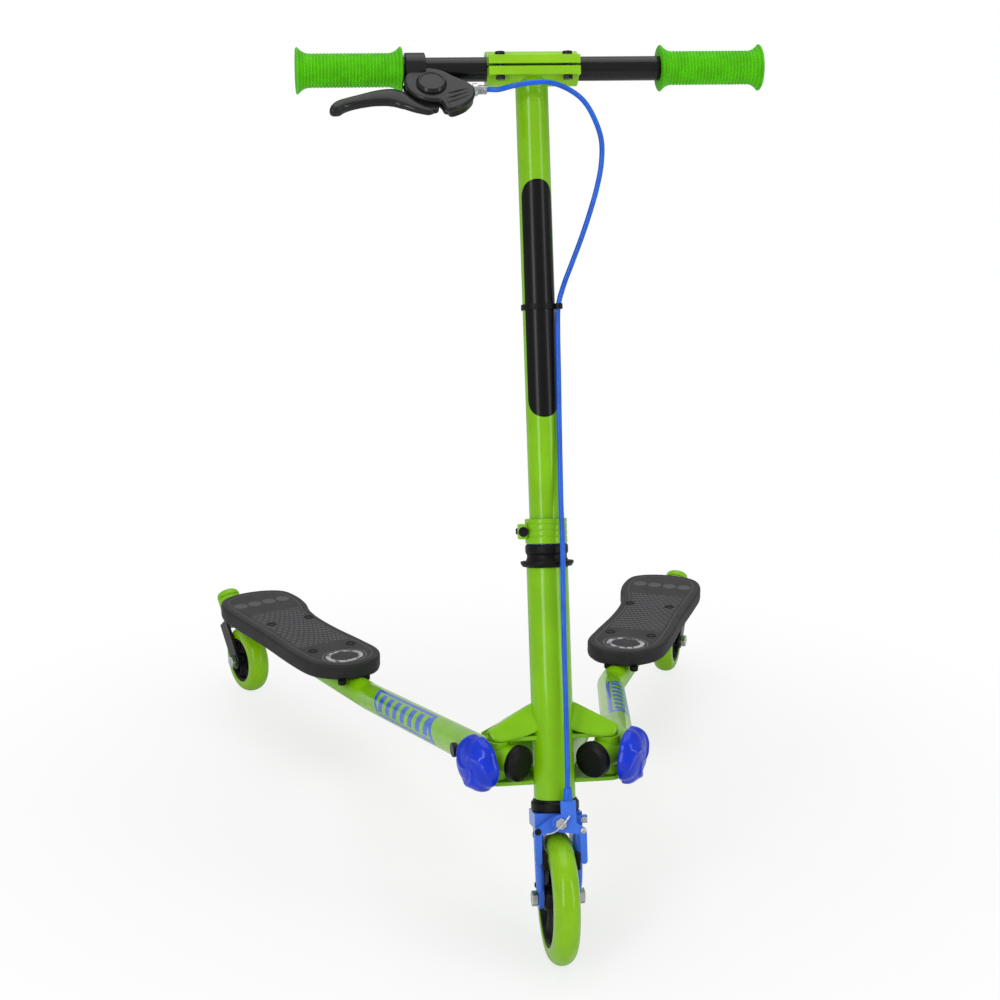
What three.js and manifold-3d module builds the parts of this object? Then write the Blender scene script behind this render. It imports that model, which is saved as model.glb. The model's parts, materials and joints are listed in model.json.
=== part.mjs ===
// Three wheel kids scooter with two swinging arms.
// Millimetres, +Z up, forward is -Y, +X is the side away from the brake lever.
// The origin is the centre of the footprint, on the floor.

import * as THREE from 'three';
import { ConvexGeometry } from 'three/addons/geometries/ConvexGeometry.js';
import { mergeVertices } from 'three/addons/utils/BufferGeometryUtils.js';
import Module from 'manifold-3d';

const wasm = await Module();
wasm.setup();

// Driving dimensions of the whole scooter
const wheelR = 62.5;
const rakeShare = 0.275;
const barRise = 762;
const barReach = 215;
const stemR = 15;
const headLow = 92;
const headHigh = 305.7;
const pivotX = 51.5;
const pivotY = 40;
const armZ = 188;
const armR = 15;
const deckTop = 126;
const deckX = 161;
const deckY = 489;
const casterR = 40;

// Clearances and the overrun of a cutting tool
const fit = 0.3;
const running = 0.2;
const overrun = 2;

// Facet counts
const roundSides = 20;
const boltSides = 12;
const cableSides = 8;
const tubeSides = 12;
const armSteps = 28;
const cableSteps = 56;
const wheelSides = 28;

const rake = Math.atan(rakeShare);

// Front wheel
const tyreHalf = 12;
const tyreInnerR = 46;
const shoulderR = 51;
const rimWall = 4;
const hubWeb = 3;
const hubBossR = 13;
const hubBossHalf = 13.2;
const hubHoleR = 6;
const hubHoleRingR = 27;
const hubHoles = 5;
const axleR = 4;

// Fork, with the steerer tube on its crown
const bladeInner = 14.5;
const bladeWall = 4.5;
const bladeTopHalf = 16;
const bladeEndR = 10;
const crownLow = 66.5;
const cupLow = 81;
const crownHalfX = 22;
const crownHalfY = 17;
const steererR = 16.8;
const steererWall = 1.5;
const collarHigh = 350;
const nutR = 7.5;
const nutHeight = 5.5;

// Head tube, headset and height collar
const headR = 19.2;
const headWall = 1.9;
const cupR = 22;
const skirtR = 24.5;
const skirtLip = 3;
const skirtHigh = 317;
const cupHigh = 326.9;
const collarR = 19.4;
const lugReach = 26;
const lugHalf = 8;
const slotHalf = 1.2;
const screwR = 3;
const screwHeadR = 4.6;
const screwHeadHeight = 3.4;

// Stem tube, bar clamp, bar and grips
const stemWall = 1.6;
const stemInsert = 120;
const barR = 11.1;
const barWall = 1.8;
const clampR = 16;
const clampHalf = 42;
const clampLugReach = 24;
const clampLugHalf = 9;
const clampBoltInset = 11;
const clampBoltX = clampHalf - clampBoltInset;
const clampBoltY = 18;
const gripInner = 119;
const gripR = 15.6;
const gripFlangeR = 21.5;
const gripFlange = 5;
const gripEnd = 2.6;

// Brake lever and its bracket, laid out in the lever's own plane
const leverDrop = Math.PI * 0.28;
const bracketInner = 101;
const bracketLength = 15;
const bracketR = 15.5;
const perchHalf = 7;
const perchReach = 57;
const leverPivotX = 95;
const leverPivotV = 29;
const leverRootR = 10;
const leverHalf = 2.6;
const leverTipX = 186;
const leverTipV = 52;
const leverBallR = 6;
const pinR = 2.4;
const adjusterR = 4.4;
const adjusterLength = 13;
const adjusterV = 28;

// Caliper brake on the front of the crown
const caliperRise = 73;
const caliperPlate = 5;
const caliperGap = 0.4;
const caliperBoltR = 3.4;
const calLegX = 20.5;
const calLegHalf = 3.2;
const calEyeR = 8;
const calFootRise = 38;
const padGap = 1.2;
const padWall = 3.4;
const padHalfY = 5;
const padHalfZ = 8;
const stopX = 7.5;
const stopHalf = 7;
const stopHigh = 93;
const anchorX = 22;
const anchorRise = 75;
const springR = 0.9;
const bootR = 4.4;
const bootLength = 12;

// Brake cable: its route in the steering frame, chosen by hand, hung from the bar down to the tie
const cableR = 2.4;
const cableUpper = [
  [-41, -18, -21.4], [-33, -21, -22], [-20, -29.5, -20], [-4, -32.5, -18], [12, -32, -18],
  [30, -28, -24], [44, -24, -34], [54, -20.5, -50], [60, -18, -69], [59.5, -16, -90],
  [55, -15, -111], [48, -14.5, -133], [39.5, -14, -156], [30.5, -13, -178], [22, -11, -199],
  [16.6, -9.5, -218],
];
const cableMiddleShares = [[15, -11.2, 0.876], [14.2, -12.7, 0.67], [13, -14.8, 0.412], [12, -17.8, 0.206]];
const cableLower = [
  [11, -21.8, 362], [10.5, -26.2, 335], [10, -27.7, 310], [9.5, -27.2, 285], [9, -26.6, 240],
  [8.8, -26.6, 190], [8.4, -27.2, 150], [7.8, -28.6, 120],
];
const tieDrop = 218;
const tieRise = barRise - tieDrop;
const cableRoute = [
  ...cableUpper.map(([x, y, below]) => [x, y, barRise + below]),
  ...cableMiddleShares.map(([x, y, share]) => [x, y, collarHigh + share * (tieRise - collarHigh)]),
  ...cableLower,
];
const tieHalf = 2.5;
const tieWall = 1.3;

// Yoke behind the head tube: the base plate's eyes, the strap over the arms, and the hood between them
const yokeEyeR = 15;
const yokeStrapR = 10;
const yokeRootR = 20;
const yokeWingX = 50;
const yokeWingY = 135.5;
const yokeWingR = 3.5;
const yokeWall = 4;
const yokeGap = 19;
const hoodRootX = 19;
const hoodHigh = 236;
const pivotBoltR = 5;
const pivotHeadR = 7;
const pivotHead = 3;

// Swinging arm: its path for the right side
const armWall = 2;
const stubShare = 0.695;
const stubInner = 26;
const stubOuter = 20;
const armBendR = 38;
const kneeX = 136;
const kneeY = 446;
const barrelR = 12;
const capR = 17;
const capLength = 6;
const capDome = 4;
const knobTurn = THREE.MathUtils.degToRad(13);
const knobR = 27;
const knobDepth = 19;
const knobStand = 4;
const knobPinR = 4;
const knobLobes = 5;
const knobScallopSink = 9;
const knobScallopR = 13;
const plugStation = 26;
const plugR = 7;
const plugHeight = 5;

// Deck: outline in shares of its length and half width, from the front end round the outer side
const deckTurn = THREE.MathUtils.degToRad(24);
const deckLength = 286;
const deckHalf = 47;
const deckWall = 19;
const deckSkin = 5;
const deckRim = 4.5;
const deckRound = 3.5;
const deckNose = 29;
const deckOutlineShares = [
  [0.005, 0.2], [0.05, 0.62], [0.13, 0.9], [0.28, 0.97], [0.5, 0.96], [0.74, 1], [0.88, 0.98],
  [0.965, 0.74], [1, 0.2], [0.99, -0.45], [0.94, -0.93], [0.85, -1.05], [0.75, -1],
  [0.66, -0.84], [0.55, -0.77], [0.4, -0.8], [0.22, -0.92], [0.1, -0.94], [0.02, -0.62],
  [0, -0.2],
];
const outlineSteps = 36;
const screwStations = [30, 135];
const screwSpread = 24;
const bossR = 6;
const recessR = 4.6;
const recessDepth = 4;
const bracketPlate = 4;
const bracketHalfX = 30;
const bracketHalfY = 13;

// Inclined caster under the tail of each deck
const casterInset = 2;
const casterStation = deckLength - deckNose - casterInset;
const casterLean = THREE.MathUtils.degToRad(38);
const casterTyreHalf = 12;
const casterTyreInnerR = 27;
const casterShoulderR = 32;
const casterBossR = 7.5;
const casterBossHalf = 13.2;
const casterPlateGap = 14;
const casterPlate = 4;
const casterPlateHalf = 10;
const casterCrownLow = 45;
const housingLow = 52;
const housingHigh = 82;
const housingR = 14;
const kingpinR = 6;
const casterCapRise = 9;
const tubeInset = 37;
const tubeEnd = casterStation - tubeInset;
const tailRun = 65;
const tailStart = casterStation - tailRun;
const tailHalfX = 13.4;
const tailWall = 10;
const tailDrop = 2;
const casterAxleR = 4;

// Materials
function paint(color, roughness, metalness) {
  return new THREE.MeshStandardMaterial({ color, roughness, metalness });
}
const lime = paint(0x7ac621, 0.3, 0.1);
const blue = paint(0x1f5fd0, 0.35, 0.1);
const gripGreen = paint(0x35c12a, 0.7, 0);
const limeRubber = paint(0x8bd01e, 0.35, 0);
const blackPlastic = paint(0x1b1b1d, 0.6, 0);
const blackPaint = paint(0x151516, 0.3, 0.2);
const deckPlastic = paint(0x333236, 0.7, 0);
const steel = paint(0xb8babd, 0.3, 0.9);
const blackSteel = paint(0x202022, 0.4, 0.7);
const rubber = paint(0x161616, 0.85, 0);

// A closed geometry as a solid that can be joined and cut
function solid(geometry) {
  const bare = geometry.index ? geometry.toNonIndexed() : geometry.clone();
  bare.deleteAttribute('normal');
  bare.deleteAttribute('uv');
  const merged = mergeVertices(bare, 1e-4);
  return new wasm.Manifold(new wasm.Mesh({
    numProp: 3,
    vertProperties: new Float32Array(merged.attributes.position.array),
    triVerts: new Uint32Array(merged.index.array),
  }));
}

function shapeOf(body) {
  const { vertProperties, triVerts } = body.getMesh();
  const geometry = new THREE.BufferGeometry();
  geometry.setAttribute('position', new THREE.BufferAttribute(new Float32Array(vertProperties), 3));
  geometry.setIndex(new THREE.BufferAttribute(new Uint32Array(triVerts), 1));
  return geometry;
}

function join(...parts) {
  return shapeOf(parts.map(solid).reduce((sum, part) => sum.add(part)));
}

function cut(body, ...tools) {
  return shapeOf(tools.map(solid).reduce((rest, tool) => rest.subtract(tool), solid(body)));
}

// The same geometry on the other side of the middle plane
function mirrored(geometry) {
  const copy = geometry.index ? geometry.toNonIndexed() : geometry.clone();
  copy.deleteAttribute('normal');
  copy.deleteAttribute('uv');
  copy.scale(-1, 1, 1);
  const place = copy.attributes.position;
  for (let i = 0; i < place.count; i += 3) {
    const a = new THREE.Vector3().fromBufferAttribute(place, i + 1);
    const b = new THREE.Vector3().fromBufferAttribute(place, i + 2);
    place.setXYZ(i + 1, b.x, b.y, b.z);
    place.setXYZ(i + 2, a.x, a.y, a.z);
  }
  return mergeVertices(copy, 1e-4);
}

// A cylinder from one point to another
function rod(from, to, radius, sides = boltSides) {
  const start = new THREE.Vector3(...from);
  const run = new THREE.Vector3(...to).sub(start);
  const geometry = new THREE.CylinderGeometry(radius, radius, run.length(), sides);
  const turn = new THREE.Quaternion().setFromUnitVectors(new THREE.Vector3(0, 1, 0), run.clone().normalize());
  geometry.applyQuaternion(turn);
  geometry.translate(...start.addScaledVector(run, 0.5).toArray());
  return geometry;
}

function box(low, high) {
  const size = high.map((value, axis) => value - low[axis]);
  const middle = high.map((value, axis) => (value + low[axis]) / 2);
  return new THREE.BoxGeometry(...size).translate(...middle);
}

// A profile of [radius, height] points turned about the Z axis
function turned(profile, sides = roundSides) {
  const points = profile.map(([radius, height]) => new THREE.Vector2(radius, height));
  return new THREE.LatheGeometry(points, sides).rotateX(Math.PI / 2);
}

function turnedAlongX(profile, sides = roundSides) {
  return turned(profile, sides).rotateY(Math.PI / 2);
}

// A closed ring profile ends where it starts
function ring(innerR, outerR, low, high, sides = roundSides) {
  return turned([[innerR, low], [outerR, low], [outerR, high], [innerR, high], [innerR, low]], sides);
}

// A closed outline pushed along Z from low to high
function slab(shape, low, high) {
  const options = { depth: high - low, bevelEnabled: false, curveSegments: 8 };
  return new THREE.ExtrudeGeometry(shape, options).translate(0, 0, low);
}

function disc(x, y, radius) {
  return new THREE.Shape().absarc(x, y, radius, 0, Math.PI * 2);
}

// A route of straight runs whose corners are rounded
class Route extends THREE.Curve {
  constructor(corners, radius) {
    super();
    this.path = new THREE.CurvePath();
    let from = corners[0];
    for (let i = 1; i < corners.length - 1; i += 1) {
      const corner = corners[i];
      const back = corners[i - 1].clone().sub(corner).normalize();
      const ahead = corners[i + 1].clone().sub(corner).normalize();
      const reach = radius / Math.tan(back.angleTo(ahead) / 2);
      const start = corner.clone().addScaledVector(back, reach);
      const end = corner.clone().addScaledVector(ahead, reach);
      this.path.add(new THREE.LineCurve3(from, start));
      this.path.add(new THREE.QuadraticBezierCurve3(start, corner, end));
      from = end;
    }
    this.path.add(new THREE.LineCurve3(from, corners.at(-1)));
  }

  getPoint(share) {
    return this.path.getPoint(share);
  }
}

// A round bar along a curve, or a tube where a bore is given
function tube(curve, radius, sides, steps, bore = 0) {
  const ring = (size) => new THREE.EllipseCurve(0, 0, size, size).getPoints(sides);
  const section = new THREE.Shape(ring(radius));
  if (bore) section.holes.push(new THREE.Path(ring(bore)));
  return new THREE.ExtrudeGeometry(section, { steps, extrudePath: curve });
}

// The hull of circles, as an outline: arcs joined by straight tangents, given anticlockwise
function belt(circles) {
  const shape = new THREE.Shape();
  circles.forEach(([x, y, radius], i) => {
    const [px, py, pr] = circles.at(i - 1);
    const [nx, ny, nr] = circles[(i + 1) % circles.length];
    const leave = (ax, ay, ar, bx, by, br) => {
      const away = Math.atan2(by - ay, bx - ax);
      return away - Math.acos((ar - br) / Math.hypot(bx - ax, by - ay));
    };
    const start = leave(px, py, pr, x, y, radius);
    const end = leave(x, y, radius, nx, ny, nr);
    shape.absarc(x, y, radius, start, end, false);
  });
  shape.closePath();
  return shape;
}

const scooter = new THREE.Group();
const steering = new THREE.Group();
steering.position.set(0, 0, wheelR);
steering.rotation.x = -rake;
steering.name = 'steering';
scooter.add(steering);

function add(group, name, geometry, material) {
  const mesh = new THREE.Mesh(geometry, material);
  mesh.name = name;
  group.add(mesh);
  return mesh;
}

// Front wheel: polyurethane tyre on a plastic hub, turning on the axle
function wheelTyre(outerR, innerR, shoulder, half) {
  const profile = [[innerR, -half], [shoulder, -half]];
  for (let i = 1; i < 6; i += 1) {
    const turn = Math.PI * (i / 6 - 0.5);
    profile.push([shoulder + (outerR - shoulder) * Math.cos(turn), half * Math.sin(turn)]);
  }
  profile.push([shoulder, half], [innerR, half], [innerR, -half]);
  return turnedAlongX(profile, wheelSides);
}

function wheelHub(outerR, half, bossHalf, bossR, boreR, ringR, holeR, holes) {
  const web = [
    [boreR, -bossHalf], [bossR, -bossHalf], [bossR, -hubWeb], [outerR - rimWall, -hubWeb],
    [outerR - rimWall, -half], [outerR, -half], [outerR, half], [outerR - rimWall, half],
    [outerR - rimWall, hubWeb], [bossR, hubWeb], [bossR, bossHalf], [boreR, bossHalf], [boreR, -bossHalf],
  ];
  const tools = [];
  for (let i = 0; i < holes; i += 1) {
    const turn = (Math.PI * 2 * i) / holes;
    const y = ringR * Math.cos(turn);
    const z = ringR * Math.sin(turn);
    tools.push(rod([-hubWeb - overrun, y, z], [hubWeb + overrun, y, z], holeR));
  }
  return cut(turnedAlongX(web), ...tools);
}

function hexAxle(radius, reach, headR, headHeight) {
  const parts = [rod([-reach, 0, 0], [reach, 0, 0], radius)];
  for (const side of [-1, 1]) {
    parts.push(rod([side * (reach - headHeight), 0, 0], [side * reach, 0, 0], headR, 6));
  }
  return join(...parts);
}

const bladeOuter = bladeInner + bladeWall;
const axleReach = bladeOuter + fit + nutHeight;
const rimR = tyreInnerR - fit;
add(steering, 'front_tyre', wheelTyre(wheelR, tyreInnerR, shoulderR, tyreHalf), limeRubber);
add(steering, 'front_hub', wheelHub(rimR, tyreHalf - fit, hubBossHalf, hubBossR, axleR + running,
  hubHoleRingR, hubHoleR, hubHoles), blackPlastic);
add(steering, 'front_axle', hexAxle(axleR, axleReach, nutR, nutHeight), steel);

// Fork: crown, two tapered blades and the steerer tube, welded in one
function forkBlade(side) {
  const outline = belt([[0, 0, bladeEndR], [bladeTopHalf - bladeEndR / 2, crownLow, bladeEndR / 2],
    [bladeEndR / 2 - bladeTopHalf, crownLow, bladeEndR / 2]]);
  const plate = slab(outline, 0, bladeWall).rotateX(Math.PI / 2).rotateZ(Math.PI / 2);
  return plate.translate(side > 0 ? bladeInner : -bladeOuter, 0, 0);
}

function forkGeometry() {
  const crownHigh = cupLow - fit;
  const crown = box([-crownHalfX, -crownHalfY, crownLow], [crownHalfX, crownHalfY, crownHigh]);
  const steerer = rod([0, 0, crownHigh - overrun], [0, 0, collarHigh], steererR, roundSides);
  const bore = rod([0, 0, crownHigh], [0, 0, collarHigh + overrun], steererR - steererWall, roundSides);
  const axleHole = rod([-bladeOuter - overrun, 0, 0], [bladeOuter + overrun, 0, 0], axleR + fit);
  const boltHole = rod([0, -crownHalfY - overrun, caliperRise], [0, crownHalfY + overrun, caliperRise],
    caliperBoltR + fit);
  const body = join(crown, forkBlade(-1), forkBlade(1), steerer);
  return cut(body, bore, axleHole, boltHole);
}
add(steering, 'fork', forkGeometry(), blue);

// Height collar: a split ring pinched on the steerer by one screw beside the slot
function collarGeometry() {
  const low = cupHigh + fit;
  const body = ring(steererR + fit, collarR, low, collarHigh);
  const lugLow = low + fit;
  const lugHigh = collarHigh - fit;
  const lug = box([-lugReach, -lugHalf, lugLow], [-steererR - overrun, lugHalf, lugHigh]);
  const slot = box([-lugReach - overrun, -slotHalf, low - overrun], [-stemR, slotHalf, collarHigh + overrun]);
  const screwX = -(lugReach + collarR) / 2;
  const middle = (low + collarHigh) / 2;
  const hole = rod([screwX, -lugHalf - overrun, middle], [screwX, lugHalf + overrun, middle], screwR + fit);
  return cut(join(body, lug), slot, hole);
}

function collarScrew() {
  const middle = (cupHigh + fit + collarHigh) / 2;
  const x = -(lugReach + collarR) / 2;
  const y = lugHalf + fit;
  const shank = rod([x, -y, middle], [x, y + screwHeadHeight, middle], screwR);
  const head = rod([x, -y - screwHeadHeight, middle], [x, -y, middle], screwHeadR);
  const nut = rod([x, y, middle], [x, y + screwHeadHeight, middle], screwHeadR, 6);
  return join(shank, head, nut);
}
add(steering, 'height_collar', collarGeometry(), lime);
add(steering, 'collar_screw', collarScrew(), blackSteel);

// Caliper brake: a bolt through the crown carries two arms that pinch the wheel
const backPlate = -crownHalfY - fit - overrun;
const frontPlate = backPlate - caliperPlate - caliperGap;

const nose = frontPlate - caliperPlate - fit;

function caliperBolt() {
  const shank = rod([0, nose, caliperRise], [0, crownHalfY + fit, caliperRise], caliperBoltR);
  const head = rod([0, nose - screwHeadHeight, caliperRise], [0, nose, caliperRise], nutR - overrun, 6);
  const nutLow = crownHalfY + fit;
  const nut = rod([0, nutLow, caliperRise], [0, nutLow + nutHeight, caliperRise], nutR, 6);
  return join(shank, head, nut);
}

// An outline in the X-Z plane, as a plate whose back face is at y
function upright(shape, y) {
  return slab(shape, 0, caliperPlate).rotateX(Math.PI / 2).translate(0, y, 0);
}

// One arm: an eye on the bolt, a shoulder out to the side and a leg down beside the tyre
function caliperArm(side, back, ear) {
  const knee = caliperRise - calEyeR;
  const shoulder = belt([[0, caliperRise, calEyeR], [side * calLegX, knee, calLegHalf]]);
  const leg = belt([[side * calLegX, calFootRise, calLegHalf], [side * calLegX, knee, calLegHalf]]);
  const bolt = rod([0, back + overrun, caliperRise], [0, back - caliperPlate - overrun, caliperRise],
    caliperBoltR + running);
  return cut(join(upright(shoulder, back), upright(leg, back), ear), bolt);
}

function stopEar() {
  const post = [stopX - stopHalf, frontPlate - caliperPlate, caliperRise];
  return cut(box(post, [stopX + stopHalf, frontPlate, stopHigh]),
    rod([stopX, cableEndY, stopHigh - calEyeR], [stopX, cableEndY, stopHigh + overrun], springR + fit, 8));
}

function anchorEar() {
  const low = [0, backPlate - caliperPlate, anchorRise - calLegHalf - fit];
  return box(low, [anchorX + calLegHalf + fit, backPlate, anchorRise + calLegHalf + fit]);
}

function brakePad(side, back) {
  const face = tyreHalf + padGap;
  const y = back - caliperPlate / 2;
  const low = [Math.min(side * face, side * (face + padWall)), y - padHalfY, calFootRise - padHalfZ];
  const high = [Math.max(side * face, side * (face + padWall)), y + padHalfY, calFootRise + padHalfZ];
  return box(low, high);
}

function anchorScrew() {
  const x = anchorX;
  const front = backPlate - caliperPlate - fit;
  return rod([x, front, anchorRise], [x, front - screwHeadHeight, anchorRise], calLegHalf, 6);
}

function caliperSpring() {
  const y = nose - screwHeadHeight - springR - fit;
  const side = calEyeR + screwHeadR;
  const corners = [[calEyeR - overrun, y, caliperRise + calEyeR - fit], [-calEyeR, y, caliperRise - calEyeR],
    [-side, y, caliperRise - calEyeR - fit]];
  return tube(new Route(corners.map((corner) => new THREE.Vector3(...corner)), overrun), springR, 6, 12);
}

const cableEndY = frontPlate - caliperPlate / 2;
add(steering, 'caliper_bolt', caliperBolt(), steel);
add(steering, 'caliper_stop_arm', caliperArm(1, frontPlate, stopEar()), blue);
add(steering, 'caliper_anchor_arm', caliperArm(-1, backPlate, anchorEar()), blue);
add(steering, 'brake_pad_right', brakePad(1, frontPlate), rubber);
add(steering, 'brake_pad_left', brakePad(-1, backPlate), rubber);
add(steering, 'anchor_screw', anchorScrew(), steel);
add(steering, 'caliper_spring', caliperSpring(), steel);

// Head tube with its two headset cups
const cupInner = steererR + fit;
add(steering, 'head_tube', ring(headR - headWall, headR, headLow, headHigh), lime);
add(steering, 'headset_lower', ring(cupInner, cupR, cupLow, headLow - fit), blackPlastic);
add(steering, 'headset_upper', turned([
  [cupInner, headHigh + fit], [skirtR, headHigh + fit], [skirtR, headHigh + fit + skirtLip],
  [headR, skirtHigh], [headR, cupHigh], [cupInner, cupHigh], [cupInner, headHigh + fit],
]), blackPlastic);

// Stem tube and bar clamp: the clamp is a slit tube whose two lugs are drawn together
const stemLow = collarHigh - stemInsert;

function stemGeometry() {
  const saddle = rod([-clampHalf, 0, barRise], [clampHalf, 0, barRise], clampR + fit, roundSides);
  const lugLow = barRise - clampLugHalf - fit;
  const lugRoom = box([-clampHalf, -clampLugReach, lugLow], [clampHalf, -barR + fit, barRise]);
  return cut(ring(stemR - stemWall, stemR, stemLow, barRise), saddle, lugRoom);
}

function clampGeometry() {
  const shell = rod([-clampHalf, 0, 0], [clampHalf, 0, 0], clampR, roundSides);
  const lugs = box([-clampHalf, -clampLugReach, -clampLugHalf], [clampHalf, -barR, clampLugHalf]);
  const bore = rod([-clampHalf - overrun, 0, 0], [clampHalf + overrun, 0, 0], barR + fit, roundSides);
  const slot = box([-clampHalf - overrun, -clampLugReach - overrun, -slotHalf],
    [clampHalf + overrun, 0, slotHalf]);
  const holes = [-1, 1].map((side) => rod([side * clampBoltX, -clampBoltY, -clampR],
    [side * clampBoltX, -clampBoltY, clampR], screwR + fit));
  return cut(join(shell, lugs), bore, slot, ...holes).translate(0, 0, barRise);
}

function clampBolt(side) {
  const x = side * clampBoltX;
  const top = clampLugHalf + fit;
  const shank = rod([x, -clampBoltY, -top - screwHeadHeight], [x, -clampBoltY, top], screwR);
  const head = rod([x, -clampBoltY, top], [x, -clampBoltY, top + screwHeadHeight], screwHeadR);
  const nut = rod([x, -clampBoltY, -top - screwHeadHeight], [x, -clampBoltY, -top], screwHeadR, 6);
  return join(shank, head, nut).translate(0, 0, barRise);
}

function gripGeometry(side) {
  const inner = gripInner;
  const outer = barReach;
  const bore = barR + fit;
  const profile = [
    [0, outer], [gripFlangeR - overrun, outer], [gripFlangeR, outer - overrun],
    [gripFlangeR, outer - gripFlange], [gripR, outer - 2 * gripFlange],
    [gripR, inner + 2 * gripFlange], [gripFlangeR, inner + gripFlange],
    [gripFlangeR, inner + overrun], [gripFlangeR - overrun, inner], [bore, inner],
    [bore, outer - gripEnd], [0, outer - gripEnd],
  ];
  const right = turnedAlongX(profile.reverse());
  return (side > 0 ? right : mirrored(right)).translate(0, 0, barRise);
}

const barHalf = barReach - gripEnd - fit;
const bar = cut(rod([-barHalf, 0, barRise], [barHalf, 0, barRise], barR, roundSides),
  rod([-barReach, 0, barRise], [barReach, 0, barRise], barR - barWall, roundSides));
add(steering, 'stem_tube', stemGeometry(), lime);
add(steering, 'bar_clamp', clampGeometry(), lime);
add(steering, 'handlebar', bar, blackPaint);
for (const [name, side] of [['left', -1], ['right', 1]]) {
  add(steering, `clamp_bolt_${name}`, clampBolt(side), blackSteel);
  add(steering, `grip_${name}`, gripGeometry(side), gripGreen);
}

// Brake lever: its plane holds the bar's axis and drops forward; v runs away from the bar
const leverPlane = new THREE.Group();
leverPlane.position.set(0, 0, barRise);
leverPlane.rotation.x = leverDrop;
steering.add(leverPlane);

// An outline in the lever's plane, given as [x, v] shapes, as a plate half thick each way
function leverPlate(shape, half) {
  return slab(shape, -half, half).scale(-1, -1, 1);
}

function leverPin(grow, half) {
  return rod([-leverPivotX, -leverPivotV, -half], [-leverPivotX, -leverPivotV, half], pinR + grow);
}

function bracketGeometry() {
  const end = bracketInner + bracketLength;
  const clamp = rod([-end, 0, 0], [-bracketInner, 0, 0], bracketR, roundSides);
  const neck = box([-end, -leverPivotV, -perchHalf], [-bracketInner, 0, perchHalf]);
  const perch = leverPlate(belt([[leverPivotX, leverPivotV, leverRootR + overrun],
    [perchReach + perchHalf, adjusterV, perchHalf]]), perchHalf);
  const bore = rod([-end - overrun, 0, 0], [-bracketInner + overrun, 0, 0], barR + fit, roundSides);
  const room = leverRootR + overrun;
  const slot = box([-leverPivotX - 2 * room, -leverPivotV - 2 * room, -leverHalf - fit],
    [-leverPivotX + room, -leverPivotV + room, leverHalf + fit]);
  const blind = rod([-perchReach - perchHalf, -adjusterV, 0], [-perchReach + overrun, -adjusterV, 0],
    cableR + fit);
  return cut(join(clamp, neck, perch), bore, slot, leverPin(fit, perchHalf + overrun), blind);
}

function leverGeometry() {
  const root = leverPlate(disc(leverPivotX, leverPivotV, leverRootR), leverHalf);
  const middleX = (leverPivotX + leverTipX) / 2;
  const near = leverPlate(belt([[leverPivotX + overrun, leverPivotV + overrun, leverRootR - overrun],
    [middleX, (leverPivotV + leverTipV) / 2, leverBallR]]), leverHalf);
  const far = leverPlate(belt([[middleX, (leverPivotV + leverTipV) / 2, leverBallR],
    [leverTipX, leverTipV, leverBallR - overrun]]), leverHalf + overrun);
  const ball = new THREE.SphereGeometry(leverBallR, 12, 8).translate(-leverTipX, -leverTipV, 0);
  return cut(join(root, near, far, ball), leverPin(running, leverHalf + overrun));
}

const adjuster = cut(
  join(rod([-perchReach + fit, -adjusterV, 0], [-perchReach + adjusterLength, -adjusterV, 0], adjusterR),
    rod([-perchReach + fit, -adjusterV, 0], [-perchReach + adjusterR, -adjusterV, 0], adjusterR + slotHalf)),
  rod([-perchReach, -adjusterV, 0], [adjusterLength + overrun - perchReach, -adjusterV, 0], springR + fit, 8),
);
add(leverPlane, 'brake_bracket', bracketGeometry(), blackPlastic);
add(leverPlane, 'brake_lever', leverGeometry(), blackPlastic);
add(leverPlane, 'lever_pin', leverPin(0, perchHalf + slotHalf), steel);
add(leverPlane, 'barrel_adjuster', adjuster, steel);

// Brake cable from the adjuster to the caliper's stop, tied once to the stem
const bootHigh = stopHigh + fit + bootLength;
const cablePoints = [...cableRoute.map(([x, y, z]) => new THREE.Vector3(x, y, z)),
  new THREE.Vector3(stopX, cableEndY, bootHigh + fit)];
const cable = new THREE.CatmullRomCurve3(cablePoints);
add(steering, 'brake_cable', tube(cable, cableR, cableSides, cableSteps), blue);
const boot = rod([stopX, cableEndY, stopHigh + fit], [stopX, cableEndY, bootHigh], bootR);
add(steering, 'cable_boot', boot, blue);

function cableTie() {
  const near = cablePoints.find((point) => point.z <= tieRise);
  const wall = tieWall + fit;
  const bands = [[0, 0, stemR + wall], [near.x, near.y, cableR + wall]].map(([x, y, radius]) => (
    rod([x, y, tieRise - tieHalf], [x, y, tieRise + tieHalf], radius, roundSides)));
  const reach = tieHalf + overrun;
  const stemBore = rod([0, 0, tieRise - reach], [0, 0, tieRise + reach], stemR + fit, roundSides);
  const cableBore = rod([near.x, near.y, tieRise - reach], [near.x, near.y, tieRise + reach],
    cableR + 2 * fit, roundSides);
  return cut(join(...bands), stemBore, cableBore);
}
add(steering, 'cable_tie', cableTie(), blackPlastic);

// Yoke: a base plate and a strap hold the pivot bolts of the arms. A folded hood stands on the plate,
// tall at the head tube and low at the two wing tips behind it.
function yokePart(...parts) {
  const holes = [-1, 1].map((side) => rod([side * pivotX, pivotY, armZ - yokeGap - yokeWall - overrun],
    [side * pivotX, pivotY, armZ + yokeGap + yokeWall + overrun], pivotBoltR + fit));
  const headRoom = rod([0, 0, 0], [0, 0, headHigh], headR + fit, roundSides);
  headRoom.rotateX(-rake).translate(0, 0, wheelR);
  return cut(join(...parts), headRoom, ...holes);
}

function acrossArms(radius, low) {
  return slab(belt([[-pivotX, pivotY, radius], [pivotX, pivotY, radius]]), low, low + yokeWall);
}

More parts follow.
